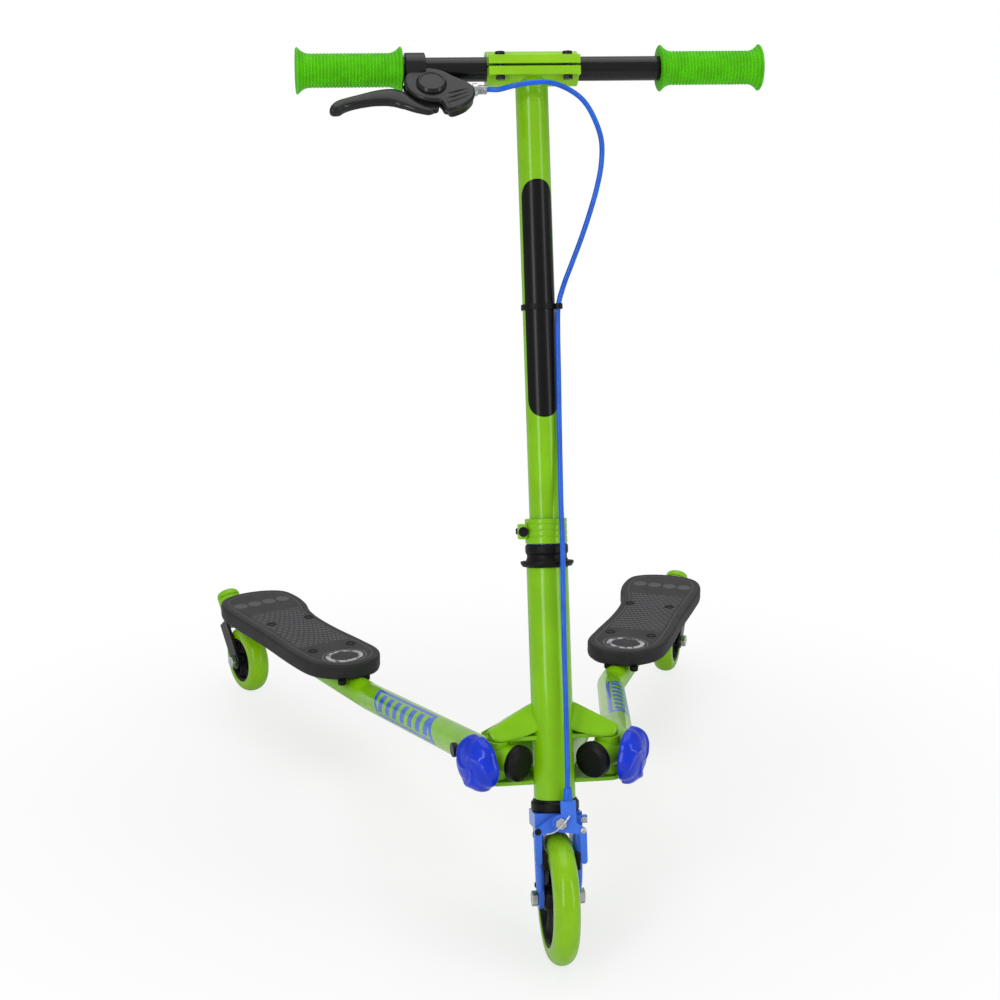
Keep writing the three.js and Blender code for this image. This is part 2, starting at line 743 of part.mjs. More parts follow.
function hoodBody(inset, foot) {
  const top = hoodHigh - inset;
  const rootY = (hoodHigh - wheelR) * Math.tan(rake);
  const tipX = yokeWingX + yokeWingR - inset;
  const tipY = yokeWingY + yokeWingR - inset;
  const tipZ = armZ - yokeGap + yokeWall - inset / 2;
  const corners = [-1, 1].flatMap((side) => [
    [side * (hoodRootX - inset), rootY, top], [side * (hoodRootX - inset), pivotY, foot],
    [side * tipX, tipY - yokeWingR, foot], [side * tipX, tipY - yokeWingR, tipZ],
    [side * (tipX - yokeWingR), tipY, foot], [side * (tipX - yokeWingR), tipY, tipZ],
  ]);
  return new ConvexGeometry(corners.map((corner) => new THREE.Vector3(...corner)));
}

const yokeFloor = armZ - yokeGap;
const hood = cut(hoodBody(0, yokeFloor + fit), hoodBody(yokeWall, yokeFloor - overrun));
add(scooter, 'yoke_upper', yokePart(hood, acrossArms(yokeStrapR, armZ + yokeGap)), lime);
const wings = slab(belt([[0, pivotY, yokeRootR], [yokeWingX, yokeWingY, yokeWingR],
  [-yokeWingX, yokeWingY, yokeWingR]]), yokeFloor - yokeWall, yokeFloor);
add(scooter, 'yoke_lower', yokePart(wings, acrossArms(yokeEyeR, yokeFloor - yokeWall)), lime);

function pivotBolt(side) {
  const x = side * pivotX;
  const top = armZ + yokeGap + yokeWall + fit;
  const foot = armZ - yokeGap - yokeWall - fit;
  const shank = rod([x, pivotY, foot], [x, pivotY, top], pivotBoltR);
  const head = rod([x, pivotY, top], [x, pivotY, top + pivotHead], pivotHeadR);
  const nut = rod([x, pivotY, foot - pivotHead], [x, pivotY, foot], pivotHeadR, 6);
  return join(shank, head, nut);
}

// Places along the right arm
const stubWay = new THREE.Vector3(stubShare, Math.sqrt(1 - stubShare ** 2), 0);
const upwards = new THREE.Vector3(0, 0, 1);
const knobWay = new THREE.Vector3(stubWay.y, -stubWay.x, 0).applyAxisAngle(upwards, knobTurn);
const pivot = new THREE.Vector3(pivotX, pivotY, armZ);
const stubEnd = pivot.clone().addScaledVector(stubWay, -stubInner);
const elbow = pivot.clone().addScaledVector(stubWay, stubOuter);
const armDeckZ = deckTop - deckWall - fit - armR;
const knee = new THREE.Vector3(kneeX, kneeY, armDeckZ);
const deckWay = new THREE.Vector3(Math.sin(deckTurn), Math.cos(deckTurn), 0);
const deckAt = (along) => new THREE.Vector3(deckX, deckY, 0).addScaledVector(deckWay, along);
const armTail = deckAt(tubeEnd).setZ(armDeckZ);

// Moves a shape from the deck's own frame, y along it and x outward, to its place on the right
function ontoDeck(geometry) {
  return geometry.rotateZ(-deckTurn).translate(deckX, deckY, 0);
}

// Moves a shape from the caster's own frame, z along the kingpin, into the deck's frame
function ontoCaster(geometry) {
  return geometry.rotateX(-casterLean).translate(0, casterStation, casterR);
}

function armGeometry() {
  const route = new Route([stubEnd, elbow, knee, armTail], armBendR);
  const long = tube(route, armR, tubeSides, armSteps, armR - armWall);
  const hinge = armZ - yokeGap + fit;
  const barrel = rod([pivotX, pivotY, hinge], [pivotX, pivotY, 2 * armZ - hinge], barrelR);
  const barrelBore = rod([pivotX, pivotY, hinge - overrun], [pivotX, pivotY, 2 * armZ - hinge + overrun],
    pivotBoltR + running);
  const saddles = screwStations.map((along) => ontoDeck(box(
    [-bracketHalfX, along - bracketHalfY, armDeckZ + armR - overrun],
    [bracketHalfX, along + bracketHalfY, armDeckZ + armR + bracketPlate])));
  const tailHigh = deckTop - deckWall - tailDrop;
  const housingMiddle = (tailHigh - tailWall / 2 - casterR) * Math.tan(casterLean);
  const tail = ontoDeck(box([-tailHalfX, tailStart, tailHigh - tailWall],
    [tailHalfX, casterStation + housingMiddle, tailHigh]));
  const housing = ontoDeck(ontoCaster(rod([0, 0, housingLow], [0, 0, housingHigh], housingR, 24)));
  const kingpinBore = ontoDeck(ontoCaster(rod([0, 0, housingLow - overrun], [0, 0, housingHigh + overrun],
    kingpinR + running, 24)));
  const pinHole = rod(knobAxisPoint(armR - armWall).toArray(), knobAxisPoint(armR + knobStand).toArray(),
    knobPinR + fit);
  const plugFoot = plugPoint(armR - 2 * armWall).toArray();
  const plugHole = rod(plugFoot, plugPoint(armR + overrun).toArray(), screwR + fit);
  const whole = join(long, barrel, ...saddles, tail, housing);
  return cut(whole, barrelBore, kingpinBore, pinHole, plugHole);
}

// A point on the locking knob's axis, and one on the small screw further along the arm
function knobAxisPoint(reach) {
  return pivot.clone().addScaledVector(knobWay, reach);
}

function plugPoint(reach) {
  const way = knee.clone().sub(elbow).normalize();
  const side = new THREE.Vector3(way.y, -way.x, 0).normalize();
  return elbow.clone().addScaledVector(way, plugStation).addScaledVector(side, reach);
}

// Turns a shape made about Z so that it stands at a point along a direction
function pointed(geometry, place, way) {
  const turn = new THREE.Quaternion().setFromUnitVectors(upwards, way.clone().normalize());
  return geometry.applyQuaternion(turn).translate(...place.toArray());
}

// Bumper cap over the open end of the arm
function armCap() {
  const profile = [[0, -capDome], [capR - capDome, -capDome], [capR, 0], [capR, capLength],
    [armR + fit, capLength], [armR + fit, fit], [0, fit]];
  return pointed(turned(profile), stubEnd.clone().addScaledVector(stubWay, -fit), stubWay);
}

// Locking knob: a scalloped dome on a steel pin that enters the arm
function knobDome() {
  const profile = [[0, 0], [knobR - overrun, 0], [knobR, overrun]];
  for (let i = 1; i < 7; i += 1) {
    const turn = (Math.PI / 2) * (i / 7);
    profile.push([knobR * Math.cos(turn), overrun + (knobDepth - overrun) * Math.sin(turn)]);
  }
  profile.push([0, knobDepth]);
  const scallops = [];
  for (let i = 0; i < knobLobes; i += 1) {
    const turn = (Math.PI * 2 * i) / knobLobes;
    const x = (knobR + knobScallopSink) * Math.cos(turn);
    const y = (knobR + knobScallopSink) * Math.sin(turn);
    scallops.push(rod([x, y, -overrun], [x, y, knobDepth + overrun], knobScallopR, 20));
  }
  const socket = rod([0, 0, -overrun], [0, 0, knobDepth / 2], knobPinR + fit);
  return cut(turned(profile), ...scallops, socket);
}

function deckOutline(inset) {
  const points = deckOutlineShares.map(([along, across]) => {
    const x = across * (deckHalf - inset);
    const y = -deckNose + inset + along * (deckLength - 2 * inset);
    return new THREE.Vector3(x, y, 0);
  });
  const curve = new THREE.CatmullRomCurve3(points, true);
  const flat = curve.getPoints(outlineSteps).slice(0, -1).map(({ x, y }) => new THREE.Vector2(x, y));
  return new THREE.Shape(flat);
}

function deckGeometry() {
  const low = deckTop - deckWall;
  const options = { depth: deckWall - deckRound, bevelThickness: deckRound, bevelSize: deckRound,
    bevelOffset: -deckRound, bevelSegments: 2 };
  const board = new THREE.ExtrudeGeometry(deckOutline(0), options).translate(0, 0, low);
  const under = box([-2 * deckHalf, -deckLength, low - deckWall], [2 * deckHalf, deckLength * 2, low]);
  const pocket = slab(deckOutline(deckRim), low - overrun, deckTop - deckSkin);
  const places = screwStations.flatMap((y) => [-1, 1].map((side) => [side * screwSpread, y]));
  const foot = low + bracketPlate + fit;
  const bosses = places.map(([x, y]) => rod([x, y, foot], [x, y, deckTop - deckSkin + overrun], bossR));
  const recessLow = deckTop - recessDepth;
  const recesses = places.map(([x, y]) => rod([x, y, recessLow], [x, y, deckTop + overrun], recessR));
  return ontoDeck(cut(join(cut(board, under, pocket), ...bosses), ...recesses));
}

// Caster: a fork on a kingpin that leans back, and its wheel
function casterFork() {
  const outer = casterPlateGap + casterPlate;
  const crownHigh = housingLow - fit;
  const crown = box([-outer, -casterPlateHalf, casterCrownLow], [outer, casterPlateHalf, crownHigh]);
  const kingpin = rod([0, 0, crownHigh - overrun], [0, 0, housingHigh - fit], kingpinR, 24);
  const legs = [casterPlateGap, -outer].map((x) => slab(belt([[0, 0, casterPlateHalf],
    [-casterCrownLow - fit, 0, casterPlateHalf]]), 0, casterPlate).rotateY(Math.PI / 2).translate(x, 0, 0));
  const top = box([-2 * outer, -2 * outer, crownHigh], [2 * outer, 2 * outer, 2 * crownHigh]);
  const legsCut = legs.map((leg) => cut(leg, top));
  const hole = rod([-outer - overrun, 0, 0], [outer + overrun, 0, 0], casterAxleR + fit);
  return cut(join(crown, kingpin, ...legsCut), hole);
}

function casterCap() {
  const profile = [[0, 0], [housingR, 0], [housingR, overrun]];
  for (let i = 1; i < 5; i += 1) {
    const turn = (Math.PI / 2) * (i / 5);
    profile.push([housingR * Math.cos(turn), overrun + (casterCapRise - overrun) * Math.sin(turn)]);
  }
  profile.push([0, casterCapRise]);
  return turned(profile, 24).translate(0, 0, housingHigh + fit);
}

const inPlace = (geometry) => ontoDeck(ontoCaster(geometry));
const casterReach = casterPlateGap + casterPlate + fit + nutHeight;
const onSide = { left: mirrored, right: (geometry) => geometry };
for (const [name, side] of [['left', -1], ['right', 1]]) {
  const placed = (node, geometry, material) => {
    add(scooter, `${node}_${name}`, onSide[name](geometry), material);
  };
  add(scooter, `pivot_bolt_${name}`, pivotBolt(side), blackSteel);
  placed('arm', armGeometry(), lime);
  placed('arm_cap', armCap(), rubber);
  placed('knob', pointed(knobDome(), knobAxisPoint(armR + knobStand), knobWay), blue);
  const pin = rod(knobAxisPoint(armR - armWall).toArray(),
    knobAxisPoint(armR + knobStand + knobDepth / 2 - fit).toArray(), knobPinR);
  placed('knob_pin', pin, steel);
  const plugTop = plugPoint(armR + plugHeight).toArray();
  const plugHead = rod(plugPoint(armR + fit).toArray(), plugTop, plugR);
  const plugShank = rod(plugPoint(armR - 2 * armWall).toArray(), plugTop, screwR);
  placed('arm_screw', join(plugHead, plugShank), blackSteel);
  placed('deck', deckGeometry(), deckPlastic);
  placed('caster_fork', inPlace(casterFork()), lime);
  placed('caster_cap', inPlace(casterCap()), lime);
  placed('caster_axle', inPlace(hexAxle(casterAxleR, casterReach, nutR, nutHeight)), steel);
  const casterTyre = wheelTyre(casterR, casterTyreInnerR, casterShoulderR, casterTyreHalf);
  placed('caster_tyre', inPlace(casterTyre), limeRubber);
  placed('caster_hub', inPlace(wheelHub(casterTyreInnerR - fit, casterTyreHalf - fit, casterBossHalf,
    casterBossR, casterAxleR + running, casterBossR, 0, 0)), blackPlastic);
}

// The footprint's centre is the origin
scooter.updateMatrixWorld(true);
const extent = new THREE.Box3().setFromObject(scooter, true);
scooter.position.set(-(extent.min.x + extent.max.x) / 2, -(extent.min.y + extent.max.y) / 2, -extent.min.z);

export default scooter;
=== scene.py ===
"""The looks of a three wheel kids scooter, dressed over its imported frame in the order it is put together."""

import json
import math

import bmesh
import bpy
import numpy as np
from mathutils import Matrix, Vector


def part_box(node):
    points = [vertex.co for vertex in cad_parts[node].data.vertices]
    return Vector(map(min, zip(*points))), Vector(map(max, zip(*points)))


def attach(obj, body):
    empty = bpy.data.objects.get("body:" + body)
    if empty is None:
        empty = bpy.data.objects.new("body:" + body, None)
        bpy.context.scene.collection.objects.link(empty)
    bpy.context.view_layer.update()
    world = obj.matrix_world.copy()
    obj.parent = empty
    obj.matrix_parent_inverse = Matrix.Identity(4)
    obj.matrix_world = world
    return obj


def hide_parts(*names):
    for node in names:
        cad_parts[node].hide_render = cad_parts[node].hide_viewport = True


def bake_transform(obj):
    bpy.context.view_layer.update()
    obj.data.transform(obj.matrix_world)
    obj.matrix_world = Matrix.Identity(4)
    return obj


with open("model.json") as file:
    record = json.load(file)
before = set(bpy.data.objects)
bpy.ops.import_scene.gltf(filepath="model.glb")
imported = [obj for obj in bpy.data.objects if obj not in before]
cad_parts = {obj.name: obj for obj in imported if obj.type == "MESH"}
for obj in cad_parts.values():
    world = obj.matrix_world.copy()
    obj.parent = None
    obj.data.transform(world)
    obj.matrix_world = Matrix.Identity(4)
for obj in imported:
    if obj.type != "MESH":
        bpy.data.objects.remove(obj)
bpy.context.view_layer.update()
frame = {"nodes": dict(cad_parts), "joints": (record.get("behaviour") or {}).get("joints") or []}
joints = {joint["name"]: joint for joint in frame["joints"]}

# Camera
# It stands in front of the scooter, a little to the rider's right and above the bar,
# and looks down at the steering head, as the photograph does.
eye = np.array([-0.308, -2.0909, 0.9612])
eye_turn, eye_dip, eye_tilt = 0.1445, 0.286, 0.005
lens_share = 2.1
sensor = 36.0


def looking(turn, dip, tilt):
    """The camera's right, up and forward directions: forward is +Y turned towards +X and
    dipped below the horizon, and the tilt rolls right and up about it."""
    forward = np.array([math.sin(turn) * math.cos(dip), math.cos(turn) * math.cos(dip), -math.sin(dip)])
    level = np.array([math.cos(turn), -math.sin(turn), 0.0])
    above = np.cross(level, forward)
    right = math.cos(tilt) * level + math.sin(tilt) * above
    return right, np.cross(right, forward), forward


camera_data = bpy.data.cameras.new("camera")
camera_data.sensor_width = sensor
camera_data.lens = lens_share * sensor
camera = bpy.data.objects.new("camera", camera_data)
bpy.context.scene.collection.objects.link(camera)
right, above, forward = looking(eye_turn, eye_dip, eye_tilt)
stand = np.eye(4)
stand[:3, 0], stand[:3, 1], stand[:3, 2], stand[:3, 3] = right, above, -forward, eye
camera.matrix_world = Matrix(stand.tolist())
bpy.context.scene.camera = camera

# Front wheel
# A solid tyre of cast lime polyurethane, poured round a black nylon hub. Its section is
# half a round tread with straight flanks, and the steel axle clamps the hub's bearings.
tyre_radius = 0.0625
tyre_half = 0.012
tyre_shoulder = 0.051
tyre_bore = 0.046
wheel_sides = 144
lime_cast = (133, 189, 4)


class Wire:
    """A socket of a material's node tree. An operator on it adds the Math node of that name."""

    def __init__(self, tree, socket):
        self.tree = tree
        self.socket = socket

    def node(self, kind, settings, sockets, out=0):
        """Adds a node, makes its settings, gives its sockets their values or links, and
        returns the wire of its output."""
        made = self.tree.nodes.new(kind)
        for name, value in settings.items():
            setattr(made, name, value)
        for name, value in sockets.items():
            if isinstance(value, Wire):
                self.tree.links.new(value.socket, made.inputs[name])
            else:
                made.inputs[name].default_value = value
        return Wire(self.tree, made.outputs[out])

    def worked(self, operation, *values):
        return self.node("ShaderNodeMath", {"operation": operation}, dict(enumerate(values)))

    def __add__(self, other):
        return self.worked("ADD", self, other)

    def __sub__(self, other):
        return self.worked("SUBTRACT", self, other)

    def __rsub__(self, other):
        return self.worked("SUBTRACT", other, self)

    def __mul__(self, other):
        return self.worked("MULTIPLY", self, other)

    def __truediv__(self, other):
        return self.worked("DIVIDE", self, other)

    def __abs__(self):
        return self.worked("ABSOLUTE", self)

    __radd__ = __add__
    __rmul__ = __mul__

    def rise(self, low, high):
        """0 below low, 1 above high, and a smooth step between them; falls if low is above high."""
        ends = {"From Min": low, "From Max": high, "To Min": 0.0, "To Max": 1.0}
        if low > high:
            ends = {"From Min": high, "From Max": low, "To Min": 1.0, "To Max": 0.0}
        return self.node("ShaderNodeMapRange", {"interpolation_type": "SMOOTHSTEP"}, {"Value": self, **ends})

    def least(self, low):
        """The larger of this and a floor."""
        return self.worked("MAXIMUM", self, low)

    def wave(self, pitch):
        """A sine between -1 and 1 that repeats once in each pitch."""
        return self.worked("SINE", self * (2 * math.pi / pitch))

    def far(self, other):
        """The length of the flat vector of this and another."""
        return self.worked("SQRT", self * self + other * other)

    def parts(self):
        """The three components of a vector."""
        split = self.tree.nodes.new("ShaderNodeSeparateXYZ")
        self.tree.links.new(self.socket, split.inputs[0])
        return [Wire(self.tree, output) for output in split.outputs]

    def noise(self, scale, detail=2.0):
        """Noise between 0 and 1 whose grain is about 1 / scale wide."""
        return self.node("ShaderNodeTexNoise", {}, {"Vector": self, "Scale": scale, "Detail": detail})

    def between(self, low, high):
        """The colour that lies between two others by this share."""
        return self.node("ShaderNodeMix", {"data_type": "RGBA"}, {0: self, 6: low, 7: high}, out=2)


def colour(red, green, blue, gain=1.0):
    """A display colour of 0 to 255 as linear values: the power 2.4 curve with its straight foot."""
    shares = np.array([red, green, blue]) / 255
    linear = np.where(shares <= 0.04045, shares / 12.92, ((shares + 0.055) / 1.055) ** 2.4)
    return (*np.clip(linear * gain, 0, 1), 1.0)


class Finish:
    """A material whose Principled shader has its plain values set, with wires that feed the rest."""

    def __init__(self, name, plain):
        self.material = bpy.data.materials.new(name)
        self.material.use_nodes = True
        self.tree = self.material.node_tree
        self.shader = self.tree.nodes["Principled BSDF"]
        for socket, value in plain.items():
            self.shader.inputs[socket].default_value = value
        places = self.tree.nodes.new("ShaderNodeTexCoord")
        self.place = Wire(self.tree, places.outputs["Object"])
        self.chart = Wire(self.tree, places.outputs["UV"])

    def feed(self, socket, wire):
        self.tree.links.new(wire.socket, self.shader.inputs[socket])

    def clouded(self, tint, dark, bright, scale, detail=3.0, low=0.3):
        """A tint whose gain drifts between dark and bright in soft clouds about 1 / scale wide."""
        share = self.place.noise(scale, detail).rise(low, 1 - low)
        return share.between(colour(*tint, dark), colour(*tint, bright))

    def relief(self, height, depth):
        """Bumps the surface by a height of 0 to 1 times a depth in metres."""
        self.feed("Normal", height.node("ShaderNodeBump", {}, {"Height": height, "Distance": depth}))


def rounded(corners, radius, steps=6):
    """A polyline whose inner corners are arcs of one radius: each arc starts where its tangent
    length, radius times the tangent of half the turn, is cut off the corner, or less on a short side."""
    corners = np.asarray(corners, float)
    points = [corners[:1]]
    for before, corner, after in zip(corners[:-2], corners[1:-1], corners[2:]):
        way_in, way_out = corner - before, after - corner
        length_in, length_out = np.linalg.norm(way_in), np.linalg.norm(way_out)
        way_in, way_out = way_in / length_in, way_out / length_out
        turn = math.acos(np.clip(way_in @ way_out, -1, 1))
        if turn < 1e-4:
            points.append(corner[None])
            continue
        cut = min(radius * math.tan(turn / 2), 0.49 * length_in, 0.49 * length_out)
        arc_radius = cut / math.tan(turn / 2)
        inward = way_out - way_in * math.cos(turn)
        inward /= np.linalg.norm(inward)
        angles = np.linspace(0, turn, steps + 1)[:, None]
        start = corner - way_in * cut
        points.append(start + arc_radius * (way_in * np.sin(angles) + inward * (1 - np.cos(angles))))
    points.append(corners[-1:])
    return np.vstack(points)


def shown(name, mesh, sharp):
    """The object of a mesh, shaded smooth but for the edges that turn more than an angle."""
    mesh.shade_smooth()
    mesh.set_sharp_from_angle(angle=math.radians(sharp))
    piece = bpy.data.objects.new(name, mesh)
    bpy.context.scene.collection.objects.link(piece)
    return piece


def skin(name, grid, chart=None, sharp=40, **marks):
    """A mesh over a grid of points. Each face joins four neighbours, doubled points at seams
    and poles are welded, and the faces are turned outwards. The chart gives each point's UV,
    and a mark is a value that each point keeps under a name."""
    rows, columns = grid.shape[:2]
    index = np.arange(rows * columns).reshape(rows, columns)
    quads = np.stack([index[:-1, :-1], index[1:, :-1], index[1:, 1:], index[:-1, 1:]], axis=-1).reshape(-1, 4)
    mesh = bpy.data.meshes.new(name)
    mesh.from_pydata(grid.reshape(-1, 3).tolist(), [], quads.tolist())
    if chart is not None:
        layer = mesh.uv_layers.new(name="UVMap")
        layer.uv.foreach_set("vector", chart.reshape(-1, 2)[quads.ravel()].ravel())
    for mark, values in marks.items():
        mesh.attributes.new(mark, "FLOAT", "POINT").data.foreach_set("value", np.asarray(values, float).ravel())
    shell = bmesh.new()
    shell.from_mesh(mesh)
    bmesh.ops.remove_doubles(shell, verts=shell.verts, dist=2e-6)
    bmesh.ops.recalc_face_normals(shell, faces=shell.faces)
    shell.to_mesh(mesh)
    shell.free()
    return shown(name, mesh, sharp)


def dress(piece, body, slot, finish, *nodes):
    """Gives a piece its material and the body it rides, and hides the nodes it stands for. Its slot is not
    used.
    """
    piece.data.materials.clear()
    piece.data.materials.append(finish.material)
    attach(piece, body)
    if nodes:
        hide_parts(*nodes)
    return piece


def turned(profile, base, along, sides):
    """The grid and chart of a profile of (radius, station) turned about the line through base:
    a point is base + station x along + radius x (cos a x first + sin a x second). The chart
    holds the angle times the widest radius, and the station."""
    profile = np.asarray(profile, float)
    along = np.asarray(along, float) / np.linalg.norm(along)
    first = np.array([0.0, 0.0, 1.0] if abs(along[2]) < 0.8 else [-1.0, 0.0, 0.0])
    first -= along * (along @ first)
    first /= np.linalg.norm(first)
    second = np.cross(along, first)
    angle = np.linspace(0, 2 * math.pi, sides + 1)
    circle = np.cos(angle)[:, None] * first + np.sin(angle)[:, None] * second
    grid = np.asarray(base) + profile[:, 1, None, None] * along + profile[:, 0, None, None] * circle
    chart = np.stack(np.broadcast_arrays(angle[None] * profile[:, 0].max(), profile[:, 1:]), axis=-1)
    return grid, chart


def lathed(name, profile, base, along, sides, body, slot, finish, *nodes, sharp=40):
    """A dressed piece turned from its profile."""
    return dress(skin(name, *turned(profile, base, along, sides), sharp=sharp), body, slot, finish, *nodes)


def cast_tyre(node, wheel, body, radius, half, shoulder, bore):
    """A tyre in its wheel's joint. Its tread has the radius shoulder + (radius - shoulder) cos t
    at the station half x sin t, and straight flanks go down to the bore."""
    turn = np.linspace(-math.pi / 2, math.pi / 2, 25)
    tread = np.stack([shoulder + (radius - shoulder) * np.cos(turn), half * np.sin(turn)], axis=-1)
    section = np.vstack([[[bore, -half]], tread, [[bore, half], [bore, -half]]])
    place = wheel["pos_m"], wheel["axis"], wheel_sides
    lathed(f"{node}_cast", section, *place, body, "lime_tyre", cast_lime, node)


cast_lime = Finish("cast_lime", {"Coat Weight": 0.3, "Coat Roughness": 0.1, "Specular IOR Level": 0.15})
cast_lime.feed("Base Color", cast_lime.clouded(lime_cast, 0.94, 1.06, 38.0))
cast_lime.feed("Roughness", cast_lime.place.noise(240.0) * 0.12 + 0.2)
cast_lime.relief(cast_lime.place.noise(900.0), 0.00002)

spin = joints["front_wheel_spin"]
wheel_centre = np.array(spin["pos_m"])
cast_tyre("front_tyre", spin, "front_wheel", tyre_radius, tyre_half, tyre_shoulder, tyre_bore)

# Front hub
# Moulded black nylon with five pockets between its ribs, a boss for the bearings, and a
# steel axle whose nuts clamp it between the fork's blades.
hub_radius, hub_half = 0.0457, 0.0112
hub_boss, hub_boss_half = 0.0125, 0.0131
hub_rim, hub_dish, hub_soft = 0.0035, 0.0035, 0.0004
hub_ribs, hub_rib_share = 5, 0.62
black_moulded = (12, 12, 13)


def hub_face(wheel, radius, half, boss, boss_half, side):
    """One face of a hub: its height over the middle plane is the boss, falls to the dish, and
    climbs to the rim; each rib lifts the dish by the sixth power of cos(ribs x angle / 2). The
    steps between them are 1 / (1 + exp(distance / softness))."""
    reach = np.linspace(0, radius, 60)[:, None]
    angle = np.linspace(0, 2 * math.pi, 181)[None, :]
    inner = 1 / (1 + np.exp((reach - boss) / hub_soft))
    outer = 1 / (1 + np.exp((radius - hub_rim - reach) / hub_soft))
    dish = hub_dish + np.abs(np.cos(hub_ribs * angle / 2)) ** 6 * hub_rib_share * (half - hub_dish)
    height = dish + inner * (boss_half - dish) + outer * (half - dish)
    along = np.array(wheel["axis"])
    first = np.cross([0.0, 0.0, 1.0], along)
    first /= np.linalg.norm(first)
    second = np.cross(along, first)
    flat = reach[..., None] * (np.cos(angle)[..., None] * first + np.sin(angle)[..., None] * second)
    return np.array(wheel["pos_m"]) + flat + side * height[..., None] * along


def moulded_hub(node, wheel, body, radius, half, boss, boss_half):
    """A hub in its wheel's joint: one face from its middle to the rim, and the other back."""
    near, far = (hub_face(wheel, radius, half, boss, boss_half, side) for side in (-1, 1))
    piece = skin(f"{node}_moulded", np.concatenate([near, far[::-1]]), sharp=50)
    dress(piece, body, "black_plastic", black_nylon, node)


def moulded(name, tint, roughness, grain, coat=0.0):
    """A moulded plastic: a fine pebble grain in the relief and a cloudy gloss."""
    made = Finish(name, {"Specular IOR Level": 0.15, "Coat Weight": coat, "Coat Roughness": 0.1})
    made.feed("Base Color", made.clouded(tint, 0.85, 1.15, 60.0))
    made.feed("Roughness", made.place.noise(180.0) * 0.15 + (roughness - 0.07))
    made.relief(made.place.noise(grain, 3.0), 0.00008)
    return made


def eased(node, suffix, width, body, slot, finish, turn=32):
    """A copy of a CAD node with its doubles merged, its flat faces joined, and each edge that
    turns more than an angle rounded to a width."""
    name = f"{node}_{suffix}"
    shell = bmesh.new()
    shell.from_mesh(frame["nodes"][node].data)
    bmesh.ops.remove_doubles(shell, verts=shell.verts, dist=2e-6)
    bmesh.ops.dissolve_limit(shell, angle_limit=math.radians(1), verts=shell.verts, edges=shell.edges)
    mesh = bpy.data.meshes.new(name)
    shell.to_mesh(mesh)
    shell.free()
    piece = shown(name, mesh, turn)
    bevel = piece.modifiers.new("edges", "BEVEL")
    bevel.width, bevel.segments, bevel.limit_method = width, 3, "ANGLE"
    bevel.angle_limit = math.radians(turn)
    bevel.harden_normals = True
    return dress(piece, body, slot, finish, node)


black_nylon = moulded("black_nylon", black_moulded, 0.42, 700.0)
moulded_hub("front_hub", spin, "front_wheel", hub_radius, hub_half, hub_boss, hub_boss_half)


def plated(name, tint, roughness):
    """Zinc plate, bright or black: a metal with a cloudy gloss and a fine grain."""
    made = Finish(name, {"Metallic": 1.0})
    made.feed("Base Color", made.clouded(tint, 0.8, 1.1, 120.0, 4.0, 0.25))
    made.feed("Roughness", made.place.noise(420.0) * 0.2 + (roughness - 0.1))
    made.relief(made.place.noise(1500.0), 0.00003)
    return made


bright_zinc = plated("bright_zinc", (196, 198, 200), 0.3)
eased("front_axle", "plated", 0.0006, "steering", "bright_steel", bright_zinc)

# Fork
# Two blue blades welded to a crown under the head tube, in painted steel. Each blade is a
# plate with a rounded front, held by a shoulder bolt at its top and a nut near the axle.
fork_blue = (64, 114, 222)
spine_route = [[17.4, -13.5, 64], [17.6, -12.6, 48], [17.6, -11, 30], [17.4, -8.8, 14], [17.2, -7, 5]]
spine_half_side, spine_half_deep = 0.0043, 0.0045
fork_bolts = (("shoulder", 59.5, 4.2), ("lower", 13, 3.4))
bolt_side, bolt_front = 19, -3
both_sides = (("left", -1), ("right", 1))
steer_up = np.array(joints["steering_turn"]["axis"])
steer_side = np.array([1.0, 0.0, 0.0])
steer_rear = np.cross(steer_up, steer_side)


def on_steering(points):
    """Points given as (side, rear, up along the steering axis) from the front axle."""
    return wheel_centre + np.asarray(points, float) @ np.stack([steer_side, steer_rear, steer_up])


def enamel(name, tint, roughness=0.24, label=None, ink=None, matt=False):
    """Baked gloss paint: a cloudy tint, an orange peel relief and a clear coat over it. A label
    is a function of the ways round and along the piece that gives its print, which the ink
    covers, and its raised foil. A matt one dulls the gloss and thins the coat."""
    made = Finish(name, {"Coat Weight": 0.3, "Coat Roughness": 0.06, "Specular IOR Level": 0.15})
    paint, peel = made.clouded(tint, 0.93, 1.07, 24.0), made.place.noise(520.0, 2.0)
    gloss = made.place.noise(90.0) * 0.1 + (roughness - 0.05)
    if label:
        printed, foil = label(*made.chart.parts()[:2])
        paint, peel = printed.between(paint, colour(*ink)), peel + foil
    if matt:
        gloss = gloss + printed * 0.06
        made.feed("Coat Weight", 0.3 - printed * 0.2)
    made.feed("Base Color", paint)
    made.feed("Roughness", gloss)
    made.relief(peel, 0.00003)
    return made


def lengths(points):
    """How far along a line of points each of them lies."""
    return np.concatenate([[0], np.cumsum(np.linalg.norm(np.diff(points, axis=0), axis=1))])


def spaced(points, count):
    """A line of points, sampled again at even steps of its length."""
    run = lengths(points)
    even = np.linspace(0, run[-1], count)
    return np.stack([np.interp(even, run, column) for column in points.T], axis=-1)


